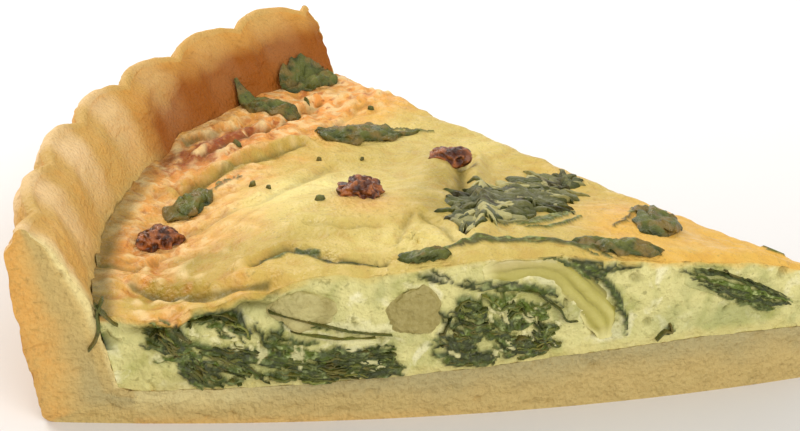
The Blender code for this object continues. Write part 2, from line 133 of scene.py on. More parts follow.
def count_property(name, description, number):
    return bpy.props.IntProperty(name=name, description=description, default=number, min=1)


class QuicheShapes(bpy.types.PropertyGroup):
    """Sizes of the relief that lies over the solids."""

    pastry_crumb: length_property("Pastry crumb", "Depth of the crumb on the pastry's cuts", 0.0004)
    custard_folds: length_property("Custard folds", "Depth of the wrinkles in the baked skin", 0.0008)
    leaf_thickness: length_property("Leaf thickness", "Thickness of a leaf edge near the point", 0.0006)
    outer_leaves: count_property("Outer leaves", "Leaf edges that show at each cut of the outer wad", 95)
    inner_leaves: count_property("Inner leaves", "Leaf edges that show at each cut of the inner wad", 95)
    crumbs: count_property("Flecks", "Small dark leaf flecks on the top", 14)


class QuicheColours(bpy.types.PropertyGroup):
    """Colours of the finish."""

    crust_pale: colour_property("Pale crust", "Pastry away from the heat", 206, 172, 96)
    crust_brown: colour_property("Browned crust", "Pastry on its flutes and outside", 226, 164, 74)
    custard_pale: colour_property("Pale custard", "Custard inside", 222, 212, 142)
    custard_gold: colour_property("Golden skin", "Baked skin of the custard", 234, 182, 78)
    custard_brown: colour_property("Browned skin", "Skin browned near the wall", 248, 164, 78)
    spinach_dark: colour_property("Wet spinach", "Dark wet leaves at the cuts", 30, 42, 4)
    spinach_grey: colour_property("Baked spinach", "Leaves dried by baking", 140, 142, 62)
    onion_olive: colour_property("Onion", "Soft olive onion", 170, 160, 72)
    cheese_beige: colour_property("Cheese", "Beige chunks in the cut", 150, 136, 74)
    scorched: colour_property("Scorched", "Scorched tips", 88, 40, 10)


class QuicheStage(bpy.types.PropertyGroup):
    """Camera and lights."""

    lens: bpy.props.FloatProperty(
        name="Lens", description="Focal length of the camera in millimetres", default=79.3
    )
    key_power: bpy.props.FloatProperty(
        name="Key light", description="Power of the large soft light", default=1.35, unit="POWER"
    )
    fill_power: bpy.props.FloatProperty(
        name="Fill light", description="Power of the front fill", default=1.15, unit="POWER"
    )
    sky: bpy.props.FloatProperty(name="Sky", description="Strength of the white surroundings", default=0.68)


def hashed(cell, seed):
    """Whole numbers that look random for each cell of a lattice."""
    mixed = cell[:, 0] * 73856093 ^ cell[:, 1] * 19349663 ^ cell[:, 2] * 83492791
    mixed = mixed ^ (seed * 2654435761 & 0x7FFFFFFF)
    mixed = (mixed ^ (mixed >> 13)) * 1274126177 & 0xFFFFFFFF
    return mixed ^ (mixed >> 16)


def noise(points, scale, seed=0):
    """Smooth noise from about -1 to 1 at points in millimetres, with cells of a size in millimetres."""
    points = np.asarray(points, float) / scale + 31.7 * (seed + 1)
    cell = np.floor(points).astype(np.int64)
    inside = points - cell
    soft = inside**3 * (inside * (inside * 6 - 15) + 10)
    total = np.zeros(len(points))
    for corner in ((0, 0, 0), (1, 0, 0), (0, 1, 0), (1, 1, 0), (0, 0, 1), (1, 0, 1), (0, 1, 1), (1, 1, 1)):
        step = np.array(corner)
        draw = hashed(cell + step, seed)
        slope = np.stack([(draw >> shift & 1023) / 511.5 - 1.0 for shift in (0, 10, 20)], axis=1)
        weight = np.prod(np.where(step == 1, soft, 1.0 - soft), axis=1)
        total += weight * ((inside - step) * slope).sum(axis=1)
    return total * 1.5


def rough(points, scale, seed=0, octaves=3):
    """Noise in several sizes, each half the size and half the strength of the last."""
    return sum(noise(points, scale / 2**k, seed + k) / 2**k for k in range(octaves))


def blend(low, high, at):
    share = np.clip((np.asarray(at, float) - low) / (high - low), 0.0, 1.0)
    return share * share * (3.0 - 2.0 * share)


def read_rows(rows, at, column=1):
    """A value read from rows of place and values, straight between them."""
    return np.interp(at, [row[0] for row in rows], [row[column] for row in rows])


def front_angle(radius):
    along = np.clip(1.0 - radius / FOOT_RADIUS, 0.0, 1.0)
    return -np.arcsin(FRONT_BOW * 4.0 * along * (1.0 - along) / radius)


def angle_at(radius, share):
    start = front_angle(radius)
    return start + share * (SLICE_ANGLE - start)


def on_ray(radius, angle, height):
    """Points in millimetres at radii, angles and heights."""
    return np.stack(
        [TIP[0] - radius * np.cos(angle), TIP[1] + radius * np.sin(angle), height + 0.0 * radius], axis=1
    )


def flute(angle):
    turns = (angle - FLUTE_FIRST) / FLUTE_PITCH
    draw = random.Random(FLUTE_SEED)
    sizes = np.array([draw.uniform(0.75, 1.15) for _ in range(FLUTE_COUNT)])
    size = sizes[np.clip(np.round(turns), 0, FLUTE_COUNT - 1).astype(int)]
    return (2.0 * np.abs(np.cos(math.pi * turns)) ** FLUTE_POWER - 1.0) * size


def base_height(radius):
    return read_rows(BASE_THICKNESS, radius)


def outer_radius(height, angle):
    plain = FOOT_RADIUS + (RIM_RADIUS - FOOT_RADIUS) * height / RIM_HEIGHT
    return plain + FLUTE_OUT * flute(angle) * blend(0.0, 0.6 * RIM_HEIGHT, height)


def inner_radius(height, angle):
    above = (height - FILL_HEIGHT) / (RIM_HEIGHT - FILL_HEIGHT)
    below = np.clip((height - BASE_EDGE) / (FILL_HEIGHT - BASE_EDGE), 0.0, 1.0)
    lower = INNER_FOOT + (FILL_RADIUS - INNER_FOOT) * below
    upper = FILL_RADIUS + (RIM_RADIUS - RIM_WIDTH - FILL_RADIUS) * above
    return np.where(above <= 0.0, lower, upper + FLUTE_IN * flute(angle) * blend(0.0, 0.9, above))


def swell(x, y):
    total = 0.0
    for centre_x, centre_y, rise, length, width, turn in SWELLS:
        total = total + rise * spot(x, y, centre_x, centre_y, length, width, turn)
    return total


def spot(x, y, centre_x, centre_y, length, width, turn):
    """A soft oval, 1 in its middle, at places given from the point of the slice."""
    turn = math.radians(turn)
    along = (x - centre_x) * math.cos(turn) + (y - centre_y) * math.sin(turn)
    across = (y - centre_y) * math.cos(turn) - (x - centre_x) * math.sin(turn)
    return np.exp(-((along / length) ** 2) - (across / width) ** 2)


def spots(x, y, rows):
    return sum(strength * spot(x, y, *oval) for strength, *oval in rows)


def line_distance(x, y, path):
    """The distance to a path in millimetres, with which side of it a place is on."""
    nearest = np.full(len(x), 1e9)
    side = np.zeros(len(x))
    for (ax, ay), (bx, by) in zip(path, path[1:]):
        length = math.hypot(bx - ax, by - ay)
        along = np.clip(((x - ax) * (bx - ax) + (y - ay) * (by - ay)) / length**2, 0.0, 1.0)
        away = np.hypot(x - ax - along * (bx - ax), y - ay - along * (by - ay))
        closer = away < nearest
        turn = ((bx - ax) * (y - ay) - (by - ay) * (x - ax)) / length
        side = np.where(closer, turn, side)
        nearest = np.where(closer, away, nearest)
    return nearest, side


# Folds of the baked skin, as paths from the point of the slice: depth, width, darkness of the painted shade
# in the crease
FOLDS = (
    (((-107.5, 7.0), (-103.5, 2.3), (-97.3, -1.0), (-89.1, -3.4)), 1.3, 1.2, 0.9),
    (((-90.6, 3.0), (-85.0, 4.4), (-82.0, 2.4), (-79.0, -1.4), (-72.0, -2.4)), 1.1, 0.9, 1.0),
    (((-101.1, 22.2), (-93.8, 25.2), (-84.8, 27.8), (-72.4, 43.2)), 0.8, 1.5, 0.35),
    (((-97.0, 41.2), (-86.9, 49.1), (-75.5, 56.6)), 1.1, 1.2, 0.75),
    (((-92.4, 53.5), (-81.6, 63.6), (-68.1, 79.9)), 1.1, 1.1, 0.6),
    (((-48.0, 49.0), (-52.6, 32.0), (-56.0, 15.0), (-58.0, 4.2)), 2.0, 1.5, 0.8),
    (((-64.9, 13.0), (-67.4, 7.0), (-70.0, 2.0)), 0.8, 0.8, 0.4),
    (((-63.9, 12.0), (-61.6, 6.0), (-61.0, 1.0)), 0.8, 0.8, 0.5),
    (((-95.0, 60.0), (-88.0, 65.0), (-83.0, 70.0)), 0.9, 1.1, 0.6),
    (((-82.0, 12.0), (-76.0, 9.0), (-71.0, 9.5)), 0.6, 0.9, 0.3),
    (((-112.0, 14.0), (-107.0, 13.0), (-101.0, 16.0)), 0.7, 0.9, 0.5),
    (((-74.0, 62.0), (-66.0, 68.0), (-60.0, 78.0)), 0.6, 1.0, 0.3),
)


def spread(unit):
    """Shares of the way across that lie closer together near both cuts."""
    return unit - 0.12 * np.sin(2.0 * math.pi * unit)


def plain_top(radius, share):
    """The height of the filling's top as in the solids."""
    far = read_rows(FAR_HEIGHTS, radius)
    front = read_rows(FRONT_HEIGHTS, radius)
    at = on_ray(radius, angle_at(radius, share), 0.0)
    x, y = at[:, 0] - TIP[0], at[:, 1] - TIP[1]
    inside = blend(0.0, 0.15, share) * blend(0.0, 0.15, 1.0 - share) * blend(0.0, 8.0, FILL_RADIUS - radius)
    return far + (front - far) * (1.0 - blend(0.04, 0.92, share)) + swell(x, y) * inside


def fold_wobble(at):
    """How far the folds stray from their paths."""
    return 0.7 * noise(at, 4.0, 20)


def top_height(radius, share, folds=0.8):
    """The height of the filling's top with its folds and wrinkles."""
    at = on_ray(radius, angle_at(radius, share), 0.0)
    x, y = at[:, 0] - TIP[0], at[:, 1] - TIP[1]
    height = plain_top(radius, share)
    near_wall = np.maximum(blend(88.0, 104.0, radius), 0.8 * spot(x, y, -84.0, 62.0, 20.0, 8.0, 42.0))
    warped = at + 3.0 * np.stack([noise(at, 9.0, 5), noise(at, 9.0, 6), 0.0 * x], axis=1)
    height += 0.45 * rough(warped, 8.0, 11) * folds / 0.8
    calm = blend(113.2, 109.0, radius)
    height += folds * (0.22 + 0.55 * near_wall) * calm * noise(warped, 2.7, 12)
    height += folds * near_wall * calm * 0.5 * noise(at, 1.9, 13)
    ridged = 1.0 - 2.0 * np.abs(noise(warped, 5.2, 14))
    height += 0.40 * folds * (0.35 + near_wall) * ridged
    wobble = fold_wobble(at)
    for path, depth, width, _ in FOLDS:
        away, side = line_distance(x + wobble, y - wobble, path)
        dip = np.exp(-((away / width) ** 2))
        lip = np.exp(-(((away - 1.7 * width) / width) ** 2)) * blend(-0.5, 0.5, side)
        height += depth * (0.6 * lip - 0.75 * dip)
    star = np.exp(-(((x + 66.5) ** 2 + (y - 3.6) ** 2) / 14.0))
    height += 0.45 * star * np.cos(7.0 * np.arctan2(y - 3.6, x + 66.5) + 0.8)
    groove = blend(110.4, 113.4, radius) * blend(0.7, 0.1, share)
    return height - 0.5 * groove


def edge_round(radius, share):
    """How far the top is lowered where it rolls over the two cuts."""
    angle = angle_at(radius, share)
    room = np.minimum(angle - front_angle(radius), SLICE_ANGLE - angle) * radius
    at = on_ray(radius, angle, 0.0)
    return (0.65 + 0.3 * noise(at, 5.0, 27)) * np.exp(-((room / 0.9) ** 2)) * blend(0.8, 5.0, radius)


STRAND_POINTS = 14


def strands_along(guides, seed, size=1.0, crowd=1.0):
    """Leaf strands scattered along guide paths: each has its points, its widths and its tone."""
    draw = np.random.default_rng(seed)
    made = []
    for path, count, scatter, tone in guides:
        path = np.array(path)
        places = np.linspace(0.0, 1.0, len(path))
        for k in range(round(count * crowd)):
            start = draw.uniform(0.0, 0.65)
            end = min(start + draw.uniform(0.22, 0.6), 1.0)
            at = np.linspace(start, end, STRAND_POINTS)
            line = np.stack([np.interp(at, places, path[:, axis]) for axis in (0, 1)], axis=1)
            line += draw.normal(0.0, scatter, 2)
            shaken = np.stack([line[:, 0], line[:, 1], np.full(STRAND_POINTS, 7.3 * k)], axis=1)
            line[:, 0] += 0.7 * noise(shaken, 1.5, seed + 1)
            line[:, 1] += 0.7 * noise(shaken, 1.5, seed + 2)
            taper = 0.35 + 0.65 * np.sin(np.linspace(0.25, math.pi - 0.1, STRAND_POINTS))
            widths = size * draw.uniform(0.3, 0.75) * taper
            made.append((line, widths, float(np.clip(tone + draw.normal(0.0, 0.28), 0.0, 1.0))))
    return made


def paint(across, up, strands):
    """How far strands cover places on a face, how high they stand and their tone."""
    cover, lift, shade = np.zeros(len(across)), np.zeros(len(across)), np.zeros(len(across))
    for line, widths, tone in strands:
        reach = widths.max() * 2.2
        near = (across > line[:, 0].min() - reach) & (across < line[:, 0].max() + reach)
        near &= (up > line[:, 1].min() - reach) & (up < line[:, 1].max() + reach)
        picked = np.flatnonzero(near)
        if len(picked) == 0:
            continue
        here = np.stack([across[picked], up[picked]], axis=1)
        step = line[1:] - line[:-1]
        offset = here[:, None, :] - line[None, :-1, :]
        along = np.clip((offset * step).sum(axis=2) / np.maximum((step**2).sum(axis=1), 1e-9), 0.0, 1.0)
        away = np.linalg.norm(offset - along[:, :, None] * step, axis=2)
        wide = widths[:-1] + along * (widths[1:] - widths[:-1])
        close = (away / wide).min(axis=1)
        high = np.clip(1.0 - (close / 1.5) ** 2, 0.0, 1.0)
        wins = high > lift[picked]
        shade[picked] = np.where(wins, tone, shade[picked])
        lift[picked] = np.maximum(lift[picked], high)
        cover[picked] = np.maximum(cover[picked], blend(1.5, 0.75, close))
    return cover, lift, shade


# Strands of leaf at the front cut: paths of radius and height, number of strands, scatter, tone
OUTER_GUIDES = (
    (((107.4, 15.0), (104.5, 13.8), (102.0, 12.6)), 5, 0.9, 0.15),
    (((106.8, 17.0), (103.5, 14.6), (101.5, 12.6)), 5, 0.9, 0.1),
    (((105.5, 18.0), (103.0, 15.6), (101.0, 13.0)), 4, 0.7, 0.5),
    (((105.0, 10.6), (102.4, 11.2), (100.4, 11.6)), 4, 0.7, 0.2),
    (((103.6, 14.6), (101.0, 10.0), (97.9, 6.8)), 9, 1.1, 0.1),
    (((100.2, 16.6), (98.6, 18.0), (96.9, 17.9), (94.1, 17.2), (92.5, 14.2)), 9, 0.7, 0.2),
    (((91.4, 16.6), (90.4, 14.2), (89.0, 13.5), (88.0, 14.6), (87.5, 15.8)), 6, 0.5, 0.35),
    (((100.5, 13.1), (94.8, 11.9), (89.1, 10.9), (81.8, 8.8), (75.8, 7.6)), 12, 0.7, 0.15),
    (((96.9, 11.6), (94.6, 10.4), (92.4, 9.1), (90.1, 6.4)), 7, 0.6, 0.2),
    (((101.9, 12.3), (99.0, 9.0), (95.4, 7.2)), 6, 0.6, 0.3),
    (((92.0, 13.4), (87.0, 12.4), (82.5, 11.4)), 6, 0.6, 0.5),
    (((90.0, 8.4), (84.0, 7.4), (78.0, 7.2)), 7, 0.5, 0.3),
    (((83.5, 11.6), (77.0, 11.2), (71.5, 11.2)), 10, 0.6, 0.1),
    (((82.8, 9.8), (76.0, 9.6), (70.2, 9.4)), 12, 0.7, 0.05),
    (((80.8, 8.2), (75.0, 8.2), (69.4, 8.6)), 9, 0.5, 0.2),
)


INNER_GUIDES = (
    (((64.2, 10.2), (60.0, 9.6), (56.0, 9.4)), 8, 0.7, 0.1),
    (((64.6, 13.0), (61.0, 11.8), (57.5, 12.2)), 10, 0.9, 0.05),
    (((63.4, 16.8), (60.5, 15.0), (57.0, 15.2)), 9, 0.9, 0.1),
    (((62.4, 18.8), (59.4, 18.0), (57.6, 18.8)), 7, 0.7, 0.35),
    (((57.5, 19.6), (55.2, 18.0), (53.0, 19.0)), 8, 0.6, 0.75),
    (((56.4, 16.8), (53.6, 15.2), (50.6, 16.2)), 9, 0.8, 0.5),
    (((52.6, 18.6), (50.0, 16.8), (47.6, 17.6)), 7, 0.6, 0.65),
    (((50.6, 14.6), (48.4, 13.0), (46.4, 14.0)), 7, 0.6, 0.35),
    (((56.8, 12.8), (53.6, 11.2), (50.4, 12.0)), 9, 0.8, 0.15),
    (((53.2, 9.9), (50.0, 10.1), (47.6, 11.0)), 7, 0.5, 0.2),
)


EDGE_GUIDES = (
    (((53.0, 26.5), (47.5, 25.8), (43.4, 23.4), (40.8, 21.2)), 6, 0.35, 0.2),
    (((46.6, 25.9), (42.5, 24.3), (39.2, 22.9), (36.0, 23.4), (32.9, 23.4)), 8, 0.45, 0.15),
    (((42.6, 23.6), (38.4, 20.2), (35.6, 15.0), (34.4, 10.2)), 12, 0.12, 0.3),
    (((68.5, 23.4), (66.4, 23.7), (64.2, 22.6), (62.0, 21.8)), 6, 0.35, 0.0),
    (((64.0, 22.6), (58.0, 21.2), (53.0, 21.0)), 5, 0.35, 0.25),
    (((57.0, 21.0), (51.5, 21.0), (47.4, 19.6), (44.8, 17.2)), 6, 0.2, 0.4),
    (((29.6, 10.6), (28.4, 11.8), (27.4, 11.6), (27.8, 12.9)), 4, 0.25, 0.3),
    (((27.0, 21.0), (20.0, 18.6), (13.0, 16.2), (7.0, 14.4)), 6, 0.5, 0.15),
    (((24.0, 18.6), (17.0, 15.8), (11.0, 13.6), (8.8, 13.0)), 4, 0.5, 0.5),
    (((88.9, 17.6), (80.5, 15.6), (71.6, 14.3)), 3, 0.12, 0.6),
    (((113.0, 17.8), (112.6, 15.4), (112.9, 13.6), (112.6, 12.2)), 3, 0.12, 0.2),
)


PALE_GUIDES = (
    (((75.8, 16.4), (73.6, 15.5), (71.4, 15.1)), 7, 0.4, 1.0),
    (((88.6, 18.4), (80.5, 16.3), (72.0, 15.0)), 4, 0.2, 0.8),
    (((92.4, 15.6), (90.2, 12.4), (90.6, 10.8)), 4, 0.4, 0.9),
    (((85.6, 14.6), (84.8, 12.2), (85.2, 9.9)), 4, 0.4, 0.9),
    (((96.4, 15.4), (94.6, 13.9), (92.8, 13.2)), 4, 0.4, 0.9),
    (((80.0, 13.6), (76.0, 13.2), (71.0, 13.6)), 5, 0.4, 0.9),
    (((98.6, 14.8), (96.6, 14.2), (95.2, 12.9)), 3, 0.3, 0.9),
    (((56.4, 18.2), (55.0, 17.0), (54.6, 15.6)), 4, 0.4, 0.7),
    (((51.6, 16.6), (50.4, 15.8), (49.6, 14.4)), 4, 0.4, 0.7),
    (((70.4, 22.4), (68.4, 21.4), (66.4, 21.6)), 4, 0.4, 0.9),
    (((44.8, 22.0), (43.0, 18.6), (41.2, 14.0)), 4, 0.5, 0.8),
)


# Strands on the top: paths from the point of the slice
TOP_GUIDES = (
    (((-90.6, 2.6), (-85.0, 4.0), (-82.0, 2.0), (-79.0, -1.6), (-73.0, -2.6)), 5, 0.35, 0.2),
    (((-66.7, -3.6), (-59.3, -1.0), (-52.3, -0.4), (-42.8, -2.0), (-39.0, -3.6)), 9, 0.5, 0.2),
    (((-60.0, 4.0), (-54.0, 4.5), (-46.0, 8.0), (-38.0, 17.0)), 7, 0.8, 0.5),
    (((-98.6, 34.4), (-93.0, 39.0), (-87.0, 42.0)), 4, 0.5, 0.4),
    (((-63.0, 62.0), (-56.0, 65.0), (-50.0, 62.0)), 4, 0.4, 0.3),
    (((-34.0, 8.0), (-29.0, 14.0), (-26.0, 22.0)), 3, 0.7, 0.6),
    (((-8.0, 10.5), (-5.0, 7.0)), 5, 0.5, 0.1),
)


def loose_guides(rows, side, number, half_length, tone, seed):
    """Short guides that slant through a wad at random, at the front cut (0) or the far cut (1)."""
    draw = np.random.default_rng(seed)
    guides = []
    for _ in range(number):
        middle = draw.uniform(rows[0][0] + 1.5, rows[-1][0] - 1.5)
        low, high = wad_shape(rows, np.array([middle]), np.array([side]))
        level = float(low[0] + (high[0] - low[0]) * draw.uniform(0.1, 0.9))
        lean = draw.uniform(-0.3, 1.2)
        step = np.array((math.cos(lean), math.sin(lean) * 0.7)) * half_length * draw.uniform(0.5, 1.0)
        centre = np.array((middle, level))
        bend = draw.normal(0.0, 0.5, 2)
        path = tuple(map(tuple, (centre - step, centre + bend, centre + step)))
        guides.append((path, 4, 0.45, draw.uniform(*tone)))
    return tuple(guides)


def cut_strands():
    """The strands of both cuts: leaf and pale custard at the front, the same at the far cut."""
    wads = ((OUTER_WAD, 0), (INNER_WAD, 10))
    dark, light = (0.0, 0.55), (0.8, 1.0)
    front = strands_along(OUTER_GUIDES + INNER_GUIDES, 501, 0.62, 1.7)
    front += strands_along(EDGE_GUIDES, 506, 0.42, 1.2)
    pale = strands_along(PALE_GUIDES, 502, 0.7)
    far, far_pale = [], []
    for rows, more in wads:
        front += strands_along(loose_guides(rows, 0.0, 12, 2.2, dark, 521 + more), 531 + more, 0.6)
        pale += strands_along(loose_guides(rows, 0.0, 9, 1.2, light, 541 + more), 551 + more, 0.5, 0.6)
        far += strands_along(loose_guides(rows, 1.0, 40, 4.0, dark, 561 + more), 571 + more, 0.7)
        far_pale += strands_along(loose_guides(rows, 1.0, 10, 2.0, light, 581 + more), 591 + more, 0.6, 0.6)
    return front, pale, far, far_pale


def cut_relief(at, radius, height, front, far):
    """What both cuts share: the relief outwards in millimetres, the masks of the strands on it and a painted
    shade round the leaf strands.
    """
    front_leaf, front_pale, far_leaf, far_pale = cut_strands()
    leaf, lift, tone, pale, shade_by_leaves = (np.zeros(len(radius)) for _ in range(5))
    for side, strands, light in ((front, front_leaf, front_pale), (far, far_leaf, far_pale)):
        cover, high, shade = paint(radius[side], height[side], strands)
        broader = [(line, 2.2 * widths, 0.0) for line, widths, _ in strands]
        wide, _, _ = paint(radius[side], height[side], broader)
        over, ridge, _ = paint(radius[side], height[side], light)
        leaf[side], tone[side], pale[side] = cover * (1.0 - 0.85 * over), shade, over
        lift[side] = np.maximum(high, 0.5 * ridge)
        # Painted shade: a dark ring round each leaf strand where it meets the custard
        shade_by_leaves[side] = np.clip(wide - cover - over, 0.0, 1.0)
    relief = 0.34 * rough(at, 4.6, 61) + (0.15 + 0.3 * leaf) * noise(at, 1.1, 64)
    relief += 0.9 * (lift - 0.35 * (lift > 0.02))
    holes = -0.6 * blend(0.5, 0.7, noise(at, 2.4, 66)) - 0.5 * blend(0.55, 0.72, noise(at, 1.3, 68))
    return relief + holes * (1.0 - leaf), leaf, tone, pale, shade_by_leaves


def custard_cut_masks(block, at, radius, height, cut, painted):
    """Masks that the custard and the wads share, so that no seam shows between them."""
    leaf, tone, pale, shade_by_leaves = painted
    mottle = 0.5 + 0.5 * rough(at, 6.0, 71)
    broad = 0.5 + 0.6 * noise(at * (1.0, 1.0, 0.6), 8.0, 76)
    drips = blend(0.1, 0.6, noise(at * (1.0, 1.0, 0.4) + 1.5 * noise(at, 4.0, 79)[:, None], 2.2, 75))
    wads = np.maximum(*(in_wad(rows, radius, height, 0.0 * radius) for rows in (OUTER_WAD, INNER_WAD)))
    set_mask(block, "leaf", leaf)
    set_mask(block, "open", cut)
    set_mask(block, "tone", tone + 0.4 * noise(at, 1.1, 77))
    set_mask(block, "strand", pale * (0.7 + 0.3 * mottle))
    shade = 0.45 * wads * blend(0.35, 0.7, broad) + 0.5 * blend(0.45, 0.8, mottle) + 0.5 * shade_by_leaves + 0.4 * drips
    set_mask(block, "shade", cut * shade)
    low = blend(2.2, 0.2, height - base_height(radius) + 1.2 * noise(at, 3.0, 78))
    set_mask(block, "soaked", cut * low * 0.75)
    return mottle


def deselect():
    if bpy.context.mode != "OBJECT":
        bpy.ops.object.mode_set(mode="OBJECT")
    bpy.ops.object.select_all(action="DESELECT")


def start_block(name, cuts):
    """A unit cube cut into rows along its three directions, ready to be shaped."""
    deselect()
    bpy.ops.mesh.primitive_cube_add(size=1.0, location=(0.5, 0.5, 0.5))
    block = bpy.context.object
    block.name = name
    bpy.ops.object.transform_apply(location=True, rotation=True, scale=True)
    bpy.ops.object.mode_set(mode="EDIT")
    bpy.ops.mesh.select_mode(type="EDGE")
    for axis, factors in enumerate(cuts):
        for factor in factors:
            bpy.ops.mesh.select_all(action="DESELECT")
            work = bmesh.from_edit_mesh(block.data)
            for edge in work.edges:
                step = edge.verts[1].co - edge.verts[0].co
                edge.select = abs(step[axis]) > 0.5 * step.length
            bmesh.update_edit_mesh(block.data, loop_triangles=False)
            bpy.ops.mesh.subdivide(number_cuts=factor - 1)
    bpy.ops.object.mode_set(mode="OBJECT")
    return block


def points_of(piece):
    flat = np.empty(len(piece.data.vertices) * 3)
    piece.data.vertices.foreach_get("co", flat)
    return flat.reshape(-1, 3)


def place_points(piece, points):
    """Gives a piece its points, in millimetres, and turns its faces outwards."""
    piece.data.vertices.foreach_set("co", (np.asarray(points) * MM).ravel())
    piece.data.update()
    deselect()
    piece.select_set(True)
    bpy.context.view_layer.objects.active = piece
    bpy.ops.object.mode_set(mode="EDIT")
    bpy.ops.mesh.select_all(action="SELECT")
    bpy.ops.mesh.normals_make_consistent(inside=False)
    bpy.ops.object.mode_set(mode="OBJECT")
    bpy.ops.object.shade_smooth_by_angle(angle=math.radians(50.0))
    deselect()


def set_mask(piece, name, values):
    """A number for each point, which a material reads by its name."""
    made = piece.data.attributes.new(name, "FLOAT", "POINT")
    made.data.foreach_set("value", np.clip(values, 0.0, 1.0).astype(np.float32))


def from_grids(name, grids):
    """Closed sheets as one piece: each grid is its upper and its lower points, by rows and columns."""
    points, faces, values = [], [], []
    for upper, lower, mask in grids:
        rows, columns = upper.shape[:2]
        start = len(points)
        points.extend(upper.reshape(-1, 3))
        points.extend(lower.reshape(-1, 3))
        values.extend(np.broadcast_to(mask, (2, rows, columns)).ravel())
        under = rows * columns
        for row in range(rows - 1):
            for column in range(columns - 1):
                at = start + row * columns + column
                faces.append((at, at + 1, at + columns + 1, at + columns))
                low = at + under
                faces.append((low, low + columns, low + columns + 1, low + 1))
        edge = [start + column for column in range(columns)]
        edge += [start + row * columns + columns - 1 for row in range(1, rows)]
        edge += [start + (rows - 1) * columns + column for column in range(columns - 2, -1, -1)]
        edge += [start + row * columns for row in range(rows - 2, 0, -1)]
        for here, following in zip(edge, edge[1:] + edge[:1]):
            faces.append((here, here + under, following + under, following))
    mesh = bpy.data.meshes.new(name)
    mesh.from_pydata((np.array(points) * MM).tolist(), [], faces)
    piece = bpy.data.objects.new(name, mesh)
    bpy.context.scene.collection.objects.link(piece)
    set_mask(piece, "tone", np.array(values))
    place_points(piece, np.array(points))
    return piece


def ribbon(path, across, into, thick, wave, seed):
    """A leaf edge at a cut: a path on the face, carried into the food, thin and uneven along it."""
    path = np.asarray(path)
    steps = len(path)
    along = np.gradient(path, axis=0)
    along /= np.maximum(np.linalg.norm(along, axis=1), 1e-9)[:, None]
    normal = np.cross(along, across)
    normal /= np.maximum(np.linalg.norm(normal, axis=1), 1e-9)[:, None]
    draw = np.random.default_rng(seed)
    size = thick * (0.55 + 0.45 * np.sin(np.linspace(0.0, math.pi, steps))) * draw.uniform(0.8, 1.25)
    rows = []
    for share in (0.0, 0.3, 1.0):
        swing = wave * noise(path + 5.0 * share, 2.5, seed % 97)[:, None]
        rows.append(path - across * (0.35 * (1.0 - share) - into * share) + normal * swing)
    middle = np.stack(rows)
    offset = (normal * size[:, None] / 2)[None] * np.array((0.55, 1.0, 0.8))[:, None, None]
    return middle + offset, middle - offset


def finish_piece(piece, material, slot, *nodes):
    """Gives a piece its material and its body, and hides the solids of the nodes it stands for. The slot is
    not used.
    """
    piece.data.materials.clear()
    piece.data.materials.append(material)
    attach(piece, "root")
    if nodes:
        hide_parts(*nodes)


def grain_group():
    """A shader group that gives a mottle and a fine grain from Object coordinates."""
    name = "Baked grain"
    if name in bpy.data.node_groups:
        return bpy.data.node_groups[name]
    group = bpy.data.node_groups.new(name, "ShaderNodeTree")
    for label, kind, side in (
        ("Mottle size", "NodeSocketFloat", "INPUT"),
        ("Grain size", "NodeSocketFloat", "INPUT"),
        ("Mottle", "NodeSocketFloat", "OUTPUT"),
        ("Grain", "NodeSocketFloat", "OUTPUT"),
        ("Specks", "NodeSocketFloat", "OUTPUT"),
    ):
        group.interface.new_socket(label, in_out=side, socket_type=kind)
    nodes, links = group.nodes, group.links
    inputs = nodes.new("NodeGroupInput")
    outputs = nodes.new("NodeGroupOutput")
    places = nodes.new("ShaderNodeTexCoord")
    for label, size, detail, low, high in (
        ("Mottle", "Mottle size", 5.0, 0.35, 0.65),
        ("Grain", "Grain size", 3.0, 0.25, 0.75),
        ("Specks", "Grain size", 1.0, 0.66, 0.74),
    ):
        texture = nodes.new("ShaderNodeTexNoise")
        texture.inputs["Detail"].default_value = detail
        texture.inputs["Distortion"].default_value = 0.4 if label == "Mottle" else 0.0
        ranged = nodes.new("ShaderNodeMapRange")
        ranged.inputs["From Min"].default_value = low
        ranged.inputs["From Max"].default_value = high
        links.new(places.outputs["Object"], texture.inputs["Vector"])
        links.new(inputs.outputs[size], texture.inputs["Scale"])
        links.new(texture.outputs["Fac"], ranged.inputs["Value"])
        links.new(ranged.outputs["Result"], outputs.inputs[label])
    return group


